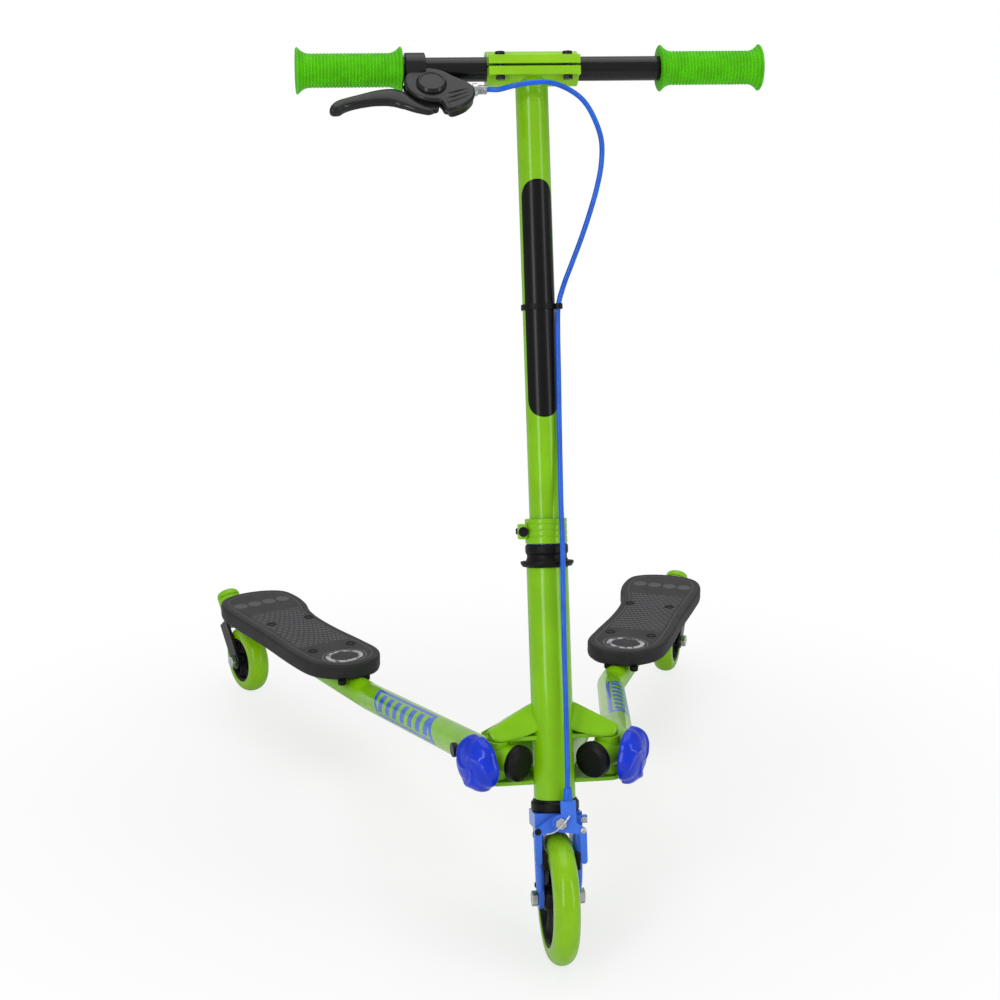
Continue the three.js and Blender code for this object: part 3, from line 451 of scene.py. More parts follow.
def threaded(points, count, closed=False):
    """A smooth line through points: cubic pieces whose slope at a point is half the step
    between its neighbours, sampled evenly by length. A closed one ends where it starts."""
    points = np.asarray(points, float)
    if closed:
        points = np.vstack([points, points[:1]])
        before = np.vstack([points[-2:-1], points[:-1]])
        after = np.vstack([points[1:], points[1:2]])
    else:
        before = np.vstack([2 * points[:1] - points[1:2], points[:-1]])
        after = np.vstack([points[1:], 2 * points[-1:] - points[-2:-1]])
    slope = (after - before) / 2
    share = np.linspace(0, len(points) - 1, count * 6)
    part = np.minimum(share.astype(int), len(points) - 2)
    t = (share - part)[:, None]
    a, b, u, v = points[part], points[part + 1], slope[part], slope[part + 1]
    curve = (2 * t**3 - 3 * t**2 + 1) * a + (t**3 - 2 * t**2 + t) * u
    curve = curve + (3 * t**2 - 2 * t**3) * b + (t**3 - t**2) * v
    line = spaced(curve, count + closed)
    return line[:-1] if closed else line


def cut_mm(corners, radius, steps=6):
    """A profile given in millimetres, its corners rounded to a radius in millimetres."""
    return rounded(np.array(corners) / 1000, radius / 1000, steps)


def circle(radius, sides):
    """A ring of (radius x cos a, radius x sin a) that ends where it starts."""
    angle = np.linspace(0, 2 * math.pi, sides + 1)
    return np.stack([radius * np.cos(angle), radius * np.sin(angle)], axis=-1)


def carried(path, section, first):
    """The grid and chart of a closed section carried along a path. The section's frame
    turns as little as it can: each step keeps the last sideways direction, less its part along
    the path. Each end closes to a point."""
    path, section = np.asarray(path, float), np.asarray(section, float)
    way = np.gradient(path, axis=0)
    way /= np.linalg.norm(way, axis=1)[:, None]
    across, sides = np.asarray(first, float), []
    for step in way:
        across = across - step * (across @ step)
        across /= np.linalg.norm(across)
        sides.append(across)
    sides = np.array(sides)
    ups = np.cross(way, sides)
    if section.ndim == 2:
        section = np.broadcast_to(section, (len(path), *section.shape))
    grid = path[:, None] + section[..., :1] * sides[:, None] + section[..., 1:] * ups[:, None]
    around = lengths(section[len(section) // 2])
    chart = np.stack(np.broadcast_arrays(around[None], lengths(path)[:, None]), axis=-1)
    ends = np.broadcast_to(path[[0, -1]][:, None], (2, *grid.shape[1:]))
    return np.concatenate([ends[:1], grid, ends[1:]]), np.concatenate([chart[:1], chart, chart[-1:]])


blue_enamel = enamel("blue_enamel", fork_blue)
black_zinc = plated("black_zinc", (44, 44, 47), 0.38)
eased("fork", "painted", 0.0015, "steering", "blue_paint", blue_enamel)
for side, sign in both_sides:
    for level, height, washer in fork_bolts:
        hexagon = washer * 0.72
        head = cut_mm([[0, 0], [washer, 0], [washer, 1.2], [hexagon, 1.2], [hexagon, 3], [0, 3]], 0.6)
        base = on_steering(np.array([sign * bolt_side, bolt_front, height]) / 1000)
        lathed(f"fork_{level}_bolt_{side}", head, base, [sign, 0, 0], 32, "steering", "black_steel", black_zinc)
    line = on_steering(threaded(np.array(spine_route) * [sign, 1, 1] / 1000, 60))
    swell = np.sqrt(1 - (2 * np.abs(np.linspace(0, 1, 60) - 0.5)) ** 6 * 0.97)[:, None, None]
    spine = carried(line, circle(1.0, 32) * [spine_half_side, spine_half_deep] * swell, steer_side)
    dress(skin(f"fork_spine_{side}", *spine), "steering", "blue_paint", blue_enamel)

# Caliper brake
# Two blue stamped arms turn on one bolt in front of the crown. Each presses a rubber pad
# on the tyre's flank, a steel spring parts them, and the cable's stop stands on the right arm.
spring_route = [[7.6, 80.4], [3.5, 75], [-2, 69.8], [-8, 65.8], [-14.3, 64.6]]
spring_radius = 0.0008
knee_side, knee_up = 0.0205, 0.0655
for arm in ("caliper_stop_arm", "caliper_anchor_arm"):
    eased(arm, "painted", 0.001, arm, "blue_paint", blue_enamel)
pad_rubber = moulded("pad_rubber", (24, 24, 24), 0.7, 1200.0)
for side, body in (("left", "caliper_anchor_arm"), ("right", "caliper_stop_arm")):
    eased(f"brake_pad_{side}", "moulded", 0.0008, body, "pad_rubber", pad_rubber)
eased("caliper_bolt", "plated", 0.0005, "steering", "bright_steel", bright_zinc)
spring_box = np.array(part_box("caliper_spring"))
spring_front = (spring_box.mean(axis=0) - wheel_centre) @ steer_rear
spring_line = threaded(np.array(spring_route) / 1000, 60)
spring_line = on_steering(np.stack([spring_line[:, 0], np.full(60, spring_front), spring_line[:, 1]], axis=-1))
dress(skin("caliper_spring_wire", *carried(spring_line, circle(spring_radius, 12), steer_rear)), "steering",
      "bright_steel", bright_zinc, "caliper_spring")
knee_head = cut_mm([[0, 2.4], [1.4, 2.4], [1.6, 1.4], [2.6, 1.8], [3.1, 0.4], [3.1, -0.4], [0, -0.4]], 0.4)
for side, sign, arm, finish in (("left", -1, "caliper_anchor_arm", black_zinc),
                                ("right", 1, "caliper_stop_arm", bright_zinc)):
    places = np.empty(3 * len(frame["nodes"][arm].data.vertices))
    frame["nodes"][arm].data.vertices.foreach_get("co", places)
    face = ((places.reshape(-1, 3) - wheel_centre) @ steer_rear).min()
    base = on_steering([sign * knee_side, face, knee_up])
    lathed(f"caliper_knee_bolt_{side}", knee_head, base, -steer_rear, 32, arm, "black_steel", finish)
eased("anchor_screw", "plated", 0.0004, "caliper_anchor_arm", "bright_steel", bright_zinc)

# Head tube and yoke
# The steering tube stands in a wide lime tube. Behind it a folded hood and a base plate are
# welded on, and hold the arms' pivot bolts. It is steel under one gloss powder coat.
lime_tint = (126, 189, 10)
head_low, head_high = 0.092, 0.3057
head_radius, head_bore = 0.0192, 0.0173
tube_sides = 96
hood_high, hood_fold = 0.2375, (0.019, 0.0477)
hood_front_slope, hood_side_slope, hood_rear_slope = (-0.178, 1.13), (-0.636, -0.477), (0.0, -0.69)
hood_soft, hood_flange, hood_wall, hood_reach = 0.0012, 0.003, 0.0016, 0.025
hood_outline = np.array([[14.6, 31], [30, 28.5], [50, 28.5], [58.5, 32], [60.5, 43], [52, 62], [40, 86],
                         [36, 90], [30, 87], [14.7, 58], [18.2, 48], [17.9, 39]]) / 1000


def pipe_profile(outer, bore, low, high, edge=0.0008):
    """A tube's section with rounded ends, closed on itself."""
    middle = [bore, (low + high) / 2]
    return rounded([middle, [bore, low], [outer, low], [outer, high], [bore, high], middle], edge)


lime_enamel = enamel("lime_enamel", lime_tint)
welded = "frame", "lime_paint", lime_enamel
head_tube = pipe_profile(head_radius, head_bore, head_low, head_high)
lathed("head_tube_painted", head_tube, wheel_centre, steer_up, tube_sides, *welded, "head_tube")
eased("yoke_upper", "painted", 0.003, *welded, turn=20)
eased("yoke_lower", "painted", 0.0014, *welded)
for side in ("left", "right"):
    eased(f"pivot_bolt_{side}", "painted", 0.0008, "frame", "black_steel", lime_enamel)


def ringed(outline, rows):
    """Rings inside a closed flat outline: each row gives how far its ring lies inside the
    outline, along the inward normal, and its height; the first and last rings close to a point."""
    outline, rows = np.asarray(outline, float), np.asarray(rows, float)
    run = np.roll(outline, -1, axis=0) - np.roll(outline, 1, axis=0)
    out = np.stack([run[:, 1], -run[:, 0]], axis=-1) / np.linalg.norm(run, axis=1)[:, None]
    round_area = (outline[:, 0] * np.roll(outline[:, 1], -1) - outline[:, 1] * np.roll(outline[:, 0], -1)).sum()
    rings = outline[None] - np.sign(round_area) * rows[:, 0, None, None] * out[None]
    middle = np.broadcast_to(outline.mean(axis=0), (1, *outline.shape))
    flat = np.concatenate([middle, rings, middle])
    height = np.concatenate([rows[:1, 1], rows[:, 1], rows[-1:, 1]])
    local = np.concatenate([flat, np.broadcast_to(height[:, None, None], (*flat.shape[:2], 1))], axis=-1)
    return np.concatenate([local, local[:, :1]], axis=1)


def slab_rows(low, high, edge):
    """A plate's edge from below to above as (inset, height), its two corners rounded."""
    return rounded([[2 * edge, low], [0, low], [0, high], [2 * edge, high]], edge)


def hood_grid(sign):
    """The hood's shell: its top is the lowest of three planes, two that meet in a fold from the
    head tube to the outer front corner and the yoke's own rear slope, with the folds rounded by a
    soft minimum, -s x log(sum of exp(-height / s)). Rings shrink the outline towards its middle,
    over the top, round the flange, and back below the wall."""
    outline = threaded(hood_outline, 120, closed=True)
    outline = np.vstack([outline, outline[:1]])
    middle = outline.mean(axis=0)
    inner = hood_reach - hood_wall
    edge = rounded([[0, 0], [hood_reach, 0], [hood_reach, hood_flange], [inner, hood_flange],
                    [inner, hood_wall], [0, hood_wall]], 0.0012)
    reach, drop = spaced(edge, 90).T
    flat = middle + (reach / hood_reach)[:, None, None] * (outline - middle)
    x, y = flat[..., 0], flat[..., 1]
    slopes = np.array([hood_front_slope, hood_side_slope, hood_rear_slope])[:, :, None, None]
    planes = hood_high + slopes[:, 0] * (x - hood_fold[0]) + slopes[:, 1] * (y - hood_fold[1])
    least = planes.min(axis=0)
    top = -hood_soft * np.log(np.exp((least - planes) / hood_soft).sum(axis=0)) + least
    return np.stack([sign * x, y + wheel_centre[1], top - drop[:, None]], axis=-1)


for side, sign in both_sides:
    dress(skin(f"yoke_hood_{side}", hood_grid(sign), sharp=50), *welded)

# Headset
# Two black nylon cups hold the steering bearings at the ends of the head tube. The upper one
# has a flared dust skirt, a waist and a rounded lock ring.
lower_cup = [[17.5, 84.2], [17.5, 81.2], [21.2, 81.2], [22.2, 82.6], [22.2, 88.9], [20.6, 90.5], [20.5, 91.7],
             [17.5, 91.7], [17.5, 84.2]]
upper_cup = [[17.5, 311.5], [17.5, 306], [22.5, 306], [24.3, 308.5], [24.6, 310.8], [23.8, 311.2],
             [22.2, 309.6], [19.8, 310.8], [18.5, 314.2], [18.5, 317.2], [19.3, 318], [19.8, 319.6],
             [19.8, 324.5], [18.9, 326.6], [17.5, 326.6], [17.5, 311.5]]
for end, profile in (("lower", lower_cup), ("upper", upper_cup)):
    lathed(f"headset_{end}_moulded", cut_mm(profile, 0.7, 4), wheel_centre, steer_up, tube_sides, "frame",
           "black_plastic", black_nylon, f"headset_{end}", sharp=60)

# Height collar
# A split lime ring clamps the stem at its height. Three fine grooves run round it, and a
# small black bolt through its two ears pinches it on the steering tube.
collar_radius, collar_bore = 0.0194, 0.0171
collar_low, collar_high = 0.3272, 0.35
groove_depth, groove_half, groove_shares = 0.0006, 0.0007, np.array([0.3, 0.55, 0.8])
collar_edge, ear_inset = 0.0008, 0.0045
ear_outline = np.array([[-25.5, 1.2], [-25.5, 6.2], [-23.8, 7.8], [-18.6, 7.8], [-18, 4.5], [-18, 1.2]]) / 1000


def grooved_collar():
    """The collar's outer radius less three grooves, each the groove's depth times
    exp(-(height / half width) squared), from its low end to its high end and back down the bore."""
    height = np.linspace(collar_low, collar_high, 90)
    grooves = collar_low + (collar_high - collar_low) * groove_shares
    dips = np.exp(-(((height[:, None] - grooves) / groove_half) ** 2)).sum(axis=1)
    ends = np.minimum(height - collar_low, collar_high - height)
    radius = collar_radius - groove_depth * dips - collar_edge * np.clip(1 - ends / collar_edge, 0, 1) ** 2
    outside = np.stack([radius, height], axis=-1)
    middle = [collar_bore, (collar_low + collar_high) / 2]
    return np.vstack([[middle, [collar_bore, collar_low]], outside, [[collar_bore, collar_high], middle]])


lathed("height_collar_ring", grooved_collar(), wheel_centre, steer_up, tube_sides, "steering", "lime_paint",
       lime_enamel, "height_collar", sharp=70)
eased("collar_screw", "black", 0.0008, "steering", "black_steel", black_zinc)
for half, sign in (("front", -1), ("rear", 1)):
    rows = slab_rows(collar_low + ear_inset, collar_high - ear_inset, 0.001)
    ear = ringed(threaded(ear_outline * [1, sign], 48, closed=True), rows)
    dress(skin(f"collar_ear_{half}", on_steering(ear)), "steering", "lime_paint", lime_enamel)

# Stem tube
# The lime stem slides in the steering tube. A long black label with round ends is wrapped
# round its front, left bare.
stem_radius, stem_wall = 0.015, 0.0016
stem_low, stem_high = 0.2302, 0.7596
label_low, label_high, label_half = 0.443, 0.660, 0.0172
label_black = (10, 9, 11)


def stem_label(around, station):
    """A point is inside the label where its distance to the upright line up the tube's front,
    whose ends lie half the label's width inside, is less than that half width."""
    sideways = abs(around - stem_radius * math.pi / 2)
    past = (label_low + label_half - station).least(station - (label_high - label_half)).least(0.0)
    film = sideways.far(past).rise(label_half + 0.0002, label_half - 0.0002)
    return film, film


stem_enamel = enamel("stem_enamel", lime_tint, label=stem_label, ink=label_black, matt=True)
stem = pipe_profile(stem_radius, stem_radius - stem_wall, stem_low, stem_high)
lathed("stem_tube_painted", stem, wheel_centre, steer_up, tube_sides, "t_bar", "lime_paint", stem_enamel,
       "stem_tube")

# Bar clamp
# A split lime clamp on the stem's top grips the bar. Two black bolts close it, their
# domed heads above and their nuts below.
clamp_tint = (142, 203, 24)
clamp_lime = enamel("clamp_lime", clamp_tint)
eased("bar_clamp", "painted", 0.0018, "t_bar", "lime_paint", clamp_lime)
for side in ("left", "right"):
    eased(f"clamp_bolt_{side}", "black", 0.0012, "t_bar", "black_steel", black_zinc)

# Handlebar and grips
# A black enamelled steel tube. Each grip is soft green rubber: fine ribs and small raised
# leaves cover it between two flared flanges, and its end is closed.
bar_up, bar_radius, bar_reach = 0.762, 0.0111, 0.2121
bar_centre = on_steering([0, 0, bar_up])
grip_inner, grip_outer = 0.119, 0.215
grip_radius, grip_flange, grip_lip = 0.0156, 0.0215, 0.0014
flange_flat, flange_flare, flange_plain = 0.0016, 0.012, 0.010
rib_pitch, rib_depth, rib_fade = 0.0031, 0.00035, 0.004
leaf_pitch = 0.0052
grip_tint = (84, 196, 4)
black_enamel = enamel("black_enamel", (14, 14, 16), 0.28)
bar = rounded([[0, -bar_reach], [bar_radius, -bar_reach], [bar_radius, bar_reach], [0, bar_reach]], 0.001)
lathed("handlebar_painted", bar, bar_centre, [1, 0, 0], tube_sides, "t_bar", "black_paint", black_enamel,
       "handlebar")


def grip_profile():
    """The body's radius waves once in each rib pitch. Towards each end it grows to the flange
    by the power 2.4 of how far it is into the flare, and the rim is rounded off."""
    run = np.linspace(grip_inner, grip_outer, 420)
    end = np.minimum(run - grip_inner, grip_outer - run)
    flare = np.clip(1 - (end - flange_flat) / flange_flare, 0, 1) ** 2.4
    ribs = rib_depth * np.cos(2 * math.pi * run / rib_pitch) * np.clip((end - flange_plain) / rib_fade, 0, 1)
    lip = grip_lip * np.clip(1 - end / grip_lip, 0, 1) ** 2
    radius = grip_radius - rib_depth + ribs + (grip_flange - grip_radius) * flare - lip
    mouth = [bar_radius + 0.0002, grip_inner + 0.0006]
    sunk = grip_outer - 0.0008
    closing = [[grip_radius * 0.8, grip_outer], [grip_radius * 0.7, sunk], [0, sunk]]
    return np.vstack([[mouth], np.stack([radius, run], axis=-1), closing])


def grip_finish():
    """Soft rubber of cloudy tone, with a painted highlight along each rib's top and painted shade in
    the grooves between. Small leaves stand up where the peaks of two slanted waves meet."""
    made = Finish("grip_rubber", {"Specular IOR Level": 0.12})
    around, station, _ = made.chart.parts()
    clouds = made.place.noise(70.0, 3.0).rise(0.3, 0.7)
    # Painted highlight and shade: the colour is paler on each rib's top and darker in its groove, over random
    # clouds of tone.
    rib_highlight_and_tone = (station + rib_pitch / 4).wave(rib_pitch) * 0.35 + clouds * 0.5 + 0.25
    made.feed("Base Color", rib_highlight_and_tone.between(colour(*grip_tint, 0.72), colour(*grip_tint, 1.12)))
    made.feed("Roughness", made.place.noise(300.0) * 0.15 + 0.42)
    slanted = (around + station * 0.6).wave(leaf_pitch) * (station - around * 0.4).wave(leaf_pitch * 0.8)
    made.relief(slanted.rise(0.1, 0.5) + made.place.noise(900.0) * 0.3, 0.0003)
    return made


green_rubber = grip_finish()
for side, sign in both_sides:
    lathed(f"grip_{side}_ribbed", grip_profile(), bar_centre, [sign, 0, 0], tube_sides, "t_bar", "grip_rubber",
           green_rubber, f"grip_{side}", sharp=60)

# Brake lever
# A cast black lever at the rider's right hand turns on a steel pin between the two covers of
# its bracket, and a bright barrel adjuster on the bracket's nose sets the cable.
lever_drop = 0.28 * math.pi
lever_pivot = np.array([0.095, 0.029])
adjuster_v, adjuster_bore = 0.028, 0.0012
knurl_start, knurl_end = 0.0443, 0.0567
cover_gap, cover_high, rear_cover_share = 0.0032, 0.0085, 0.84
cover_ribs, rib_thick, blade_rows = 3, 0.0012, 120
lever_black = (27, 26, 28)
cover_outline = [[118.5, 27], [117, 35], [112.5, 42], [105, 47.5], [97, 50], [89.5, 51], [86.5, 55.5],
                 [84.5, 62], [79, 63], [69, 58], [60, 49.5], [56.5, 41], [57, 32], [64, 24], [74, 17],
                 [82, 10.5], [90, 7], [99, 5.5], [108, 6.5], [115, 12], [118.5, 19]]
nose_outline = [[81, 60], [69, 56.5], [61, 48.5], [57.5, 41], [58, 33], [66, 26], [76, 20], [81, 24], [82, 40]]
root_outline = [[84.5, 27], [88, 20.5], [96, 18.5], [104, 22], [113, 28.5], [121, 33], [122, 42], [114, 50],
                [104, 54], [95, 57], [90.5, 55], [89, 47], [86, 36]]
blade_route = np.array([[93.5, 57], [101, 55.5], [110, 50.5], [119, 43.5], [130, 38], [144, 38.5], [158, 42],
                        [170, 46], [178, 50], [183, 55.5], [184, 60]]) / 1000
blade_half = np.array([3.5, 5.0, 7.0, 9.3, 10.2, 9.0, 7.6, 6.6, 6.0, 6.0, 5.2]) / 1000
blade_thick = np.array([2.8, 3.2, 3.8, 4.4, 4.8, 4.8, 4.7, 4.8, 5.2, 5.8, 5.2]) / 1000


def on_lever(points):
    """Points given as (outward along the bar, away from the bar, up from the lever's plane):
    the plane drops forward from the bar by the lever's angle."""
    points = np.asarray(points, float)
    out, away, lift = points[..., 0], points[..., 1], points[..., 2]
    rear = -away * math.cos(lever_drop) - lift * math.sin(lever_drop)
    rise = bar_up - away * math.sin(lever_drop) + lift * math.cos(lever_drop)
    return on_steering(np.stack([-out, rear, rise], axis=-1))


def lever_slab(outline, count, rows):
    """A plate of the lever: rings inside an outline in millimetres, laid in the lever's plane."""
    return on_lever(ringed(threaded(np.array(outline) / 1000, count, closed=True), rows))


def blade_section():
    """The blade's section at each row: a ring of sin and cos to the power 0.8, times the half
    thickness and half width, which shrink by a quarter ellipse over the last rows at each end."""
    share, knots = np.linspace(0, 1, blade_rows), np.linspace(0, 1, len(blade_route))
    row = np.arange(blade_rows)
    close = np.sqrt(1 - np.clip(1 - np.minimum(row, row[::-1]) / 8, 0, 1) ** 2 * 0.96)
    half, thick = (np.interp(share, knots, sizes) * close for sizes in (blade_half, blade_thick))
    ring = circle(1.0, 48)
    return np.sign(ring) * np.abs(ring) ** 0.8 * np.stack([thick, half], axis=-1)[:, None]


satin_black = moulded("satin_black", lever_black, 0.36, 500.0, coat=0.25)
bracket = "t_bar", "black_paint", satin_black
for level, sign, share in (("front", 1, 1), ("rear", -1, rear_cover_share)):
    rows = slab_rows(cover_gap, cover_high, 0.0024) * [1, sign]
    cover = lever_slab(np.array(cover_outline) * [1, share], 160, rows)
    dress(skin(f"brake_bracket_cover_{level}", cover), *bracket, "brake_bracket")
nose = lever_slab(nose_outline, 100, [[0, -cover_gap], [0, cover_gap]])
dress(skin("brake_bracket_nose", nose), *bracket)
clamp_ring = cut_mm([[11.4, -108], [11.4, -116.5], [15.5, -116.5], [15.5, -98], [11.4, -98], [11.4, -108]], 1.2)
lathed("brake_bracket_ring", clamp_ring, bar_centre, [1, 0, 0], 72, *bracket)
dome = cut_mm([[0, 7.8], [13.8, 7.8], [13.8, 10], [11.8, 12.6], [10.4, 12.6], [10.4, 11.8], [0, 12.4]], 0.8)
lever_up = on_lever([0, 0, 1]) - on_lever([0, 0, 0])
lathed("brake_bracket_dome", dome, on_lever([*lever_pivot, 0]), lever_up, 72, *bracket, sharp=60)
for count in range(cover_ribs):
    start, end = np.array([83.5 - count, 55 - 6.5 * count, 8.4]), np.array([61.5, 44 - 4.5 * count, 8.2])
    line = on_lever((start + (end - start) * np.linspace(0, 1, 24)[:, None]) / 1000)
    swell = rib_thick * np.sqrt(np.sin(math.pi * np.linspace(0.02, 0.98, 24)))[:, None, None]
    rib = carried(line, swell * circle(1.0, 12), lever_up)
    dress(skin(f"brake_bracket_rib_{count + 1}", *rib), *bracket)
root = lever_slab(root_outline, 120, slab_rows(-0.0026, 0.0026, 0.0006))
dress(skin("brake_lever_root", root), "brake_lever", "black_paint", satin_black, "brake_lever")
line = on_lever(np.column_stack([threaded(blade_route, blade_rows), np.zeros(blade_rows)]))
blade = carried(line, blade_section(), lever_up)
dress(skin("brake_lever_blade", *blade, sharp=60), "brake_lever", "black_paint", satin_black)
eased("lever_pin", "plated", 0.0003, "t_bar", "bright_steel", bright_zinc)
knurl_run = np.linspace(knurl_start, knurl_end, 60)
knurls = 0.0042 + 0.0003 * np.cos(2 * math.pi * knurl_run / 0.0011)
knurl_radius = np.where(knurl_run > 0.0525, 0.0058, knurls)
bore = [[adjuster_bore, knurl_start], [adjuster_bore, knurl_end]]
barrel = np.vstack([bore[:1], np.stack([knurl_radius, knurl_run], axis=-1), bore[::-1]])
lathed("barrel_adjuster_plated", barrel, on_lever([0, adjuster_v, 0]), [-1, 0, 0], 48, "t_bar", "bright_steel",
       bright_zinc, "barrel_adjuster", sharp=50)

# Brake cable
# Blue sheathed cable. It leaves the adjuster, swings out in a loop, is tied to the stem and
# runs down to the caliper's boot.
cable_radius = 0.0024
cable_route = np.array([
    [-44, -17.9, 740.4], [-41, -18, 740.6], [-33, -21, 740], [-20, -29.5, 742], [-4, -32.5, 744],
    [12, -32, 744], [30, -28, 738], [44, -24, 728], [54, -20.5, 712], [60, -18, 693], [59.5, -16, 672],
    [55, -15, 651], [48, -14.5, 629], [39.5, -14, 606], [30.5, -13, 584], [22, -11, 563],
    [16.6, -9.5, 544], [15, -11.2, 520], [14.2, -12.7, 480], [13, -14.8, 430], [12, -17.8, 390],
    [11, -21.8, 362], [10.5, -26.2, 335], [10, -27.7, 310], [9.5, -27.2, 285], [9, -26.6, 240],
    [8.8, -26.6, 190], [8.4, -27.2, 150], [7.8, -28.6, 120], [7.5, -27.6, 105.6],
]) / 1000


blue_sheath = moulded("blue_sheath", (26, 92, 205), 0.3, 900.0, coat=0.3)
cable_line = on_steering(threaded(cable_route, 300))
cable = skin("brake_cable_sheath", *carried(cable_line, circle(cable_radius, 20), [0, 0, 1]))
cable.data.materials.append(blue_sheath.material)
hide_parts("brake_cable")
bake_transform(cable)
boot = cut_mm([[0, 93.3], [4, 93.3], [4.4, 94.5], [4.2, 99.5], [3.4, 104.5], [3, 105.3], [0, 105.3]], 0.5)
lathed("cable_boot_moulded", boot, on_steering([0.0075, -0.0276, 0]), steer_up, 40, "caliper_stop_arm",
       "blue_plastic", blue_sheath, "cable_boot")
eased("cable_tie", "nylon", 0.0004, "t_bar", "black_plastic", black_nylon)

# Swinging arms
# Each arm is a lime tube that leaves its pivot outwards, bends back and runs under the deck.
# A hinge barrel, two saddles, a tail plate and the caster's housing are welded to it, and a
# generic blue label of slanted bars lies on its middle run.
arm_radius, arm_wall, arm_bend = 0.015, 0.002, 0.038
stub_share, stub_inner, stub_outer = 0.695, 0.026, 0.020
knee_place = np.array([0.136, 0.446 - 0.3595765, 0.0917])
barrel_radius, barrel_bore, barrel_half = 0.012, 0.0053, 0.0187
deck_turn = math.radians(24)
deck_way = np.array([math.sin(deck_turn), math.cos(deck_turn), 0.0])
deck_out = np.array([math.cos(deck_turn), -math.sin(deck_turn), 0.0])
deck_frame_rows = np.stack([deck_out, deck_way, [0, 0, 1]])
caster_station, tube_end = 0.255, 0.218
saddle_stations, saddle_half_x, saddle_half_y = (0.030, 0.135), 0.030, 0.013
saddle_low, saddle_high = 0.1020, 0.1066
tail_half, tail_half_long, tail_middle, tail_low, tail_high = 0.0134, 0.036, 0.226, 0.095, 0.105
housing_radius, housing_bore, housing_low, housing_high = 0.014, 0.0063, 0.052, 0.082
label_start, label_end, label_lean, bar_pitch = 0.162, 0.384, 0.9, 0.029
label_blue, arm_label_half = (40, 98, 205), 0.0165
label_turn = {"left": math.radians(121), "right": math.radians(208)}


def deck_frame(points, sign):
    """Points given as (outward, along the deck, up) from the deck's root, on one side."""
    return (deck_root + np.asarray(points, float) @ deck_frame_rows) * [sign, 1, 1]


def arm_label(middle):
    """A blue print between two runs of the arm, leaning round it: a frame at its border, and
    inside it one row of slanted bars. The foil is the whole label's area."""
    def label(around, run):
        aside = around - middle
        length = run - aside * label_lean
        from_ends = (label_end - label_start) / 2 - abs(length - (label_start + label_end) / 2)
        from_sides = arm_label_half - abs(aside)
        inside = from_ends.rise(0.0, 0.0006) * from_sides.rise(0.0, 0.0006)
        heart = from_ends.rise(0.010, 0.0108) * from_sides.rise(0.0046, 0.0052)
        bars = (length + aside * 0.8).wave(bar_pitch).rise(-0.3, 0.0) * from_sides.rise(0.0064, 0.0070)
        return inside * (1 - heart * (1 - bars)), inside
    return label


pivot = np.array(joints["arm_right_fold"]["pos_m"])
stub_way = np.array([stub_share, math.sqrt(1 - stub_share**2), 0.0])
kingpin = joints["caster_right_swivel"]
deck_root = (np.array(kingpin["pos_m"]) - caster_station * deck_way) * np.array([1.0, 1.0, 0.0])
arm_end = deck_root + tube_end * deck_way + np.array([0, 0, knee_place[2]])
arm_corners = [pivot - stub_inner * stub_way, pivot + stub_outer * stub_way, knee_place, arm_end]
arm_line = spaced(rounded(arm_corners, arm_bend, 16), 200)
barrel_profile = pipe_profile(barrel_radius, barrel_bore, -barrel_half, barrel_half)
housing_profile = pipe_profile(housing_radius, housing_bore, housing_low, housing_high, 0.0012)
cap_profile = cut_mm([[0, -4], [12.5, -3.8], [16.5, -1.5], [17, 1.5], [17, 6], [15.3, 6], [15.3, 0.3],
                      [0, 0.3]], 1.2)
plate = np.array([[-1, -1], [1, -1], [1, 1], [-1, 1]])
saddle = plate * [saddle_half_x, saddle_half_y]
tail = plate * [tail_half, tail_half_long] + [0, tail_middle]


def soft_corners(outline, radius):
    """A flat outline whose corners are arcs of one radius, as a closed line of points."""
    middle = (outline[:1] + outline[-1:]) / 2
    line = rounded(np.vstack([middle, outline, middle]), radius)
    return threaded(line[:-1], 96, closed=True)


for side, sign in both_sides:
    mirror = np.array([sign, 1.0, 1.0])
    body = f"arm_{side}"
    label = arm_label(arm_radius * label_turn[side])
    finish = enamel(f"arm_enamel_{side}", lime_tint, label=label, ink=label_blue)
    welded = body, "lime_paint", lime_enamel
    outer, bore = (carried(arm_line * mirror, circle(radius, 72), [0, 0, -1])
                   for radius in (arm_radius, arm_radius - arm_wall))
    tube = (np.concatenate([way[1:-1], back[1:-1][::-1], way[1:2]]) for way, back in zip(outer, bore))
    dress(skin(f"arm_{side}_tube", *tube), body, "lime_paint", finish, f"arm_{side}")
    lathed(f"arm_{side}_barrel", barrel_profile, pivot * mirror, [0, 0, 1], 64, *welded)
    for count, station in enumerate(saddle_stations):
        local = ringed(soft_corners(saddle, 0.006) + [0, station], slab_rows(saddle_low, saddle_high, 0.0006))
        dress(skin(f"arm_{side}_saddle_{count + 1}", deck_frame(local, sign)), *welded)
    local = ringed(soft_corners(tail, 0.004), slab_rows(tail_low, tail_high, 0.0014))
    dress(skin(f"arm_{side}_tail", deck_frame(local, sign)), *welded)
    lean = joints[f"caster_{side}_swivel"]
    lathed(f"arm_{side}_housing", housing_profile, lean["pos_m"], lean["axis"], 72, *welded)
    cap_base = (pivot - (stub_inner + 0.0003) * stub_way) * mirror
    lathed(f"arm_cap_{side}_moulded", cap_profile, cap_base, stub_way * mirror, 72, body, "black_plastic",
           black_nylon, f"arm_cap_{side}")
    eased(f"arm_screw_{side}", "black", 0.0012, body, "black_steel", black_zinc)

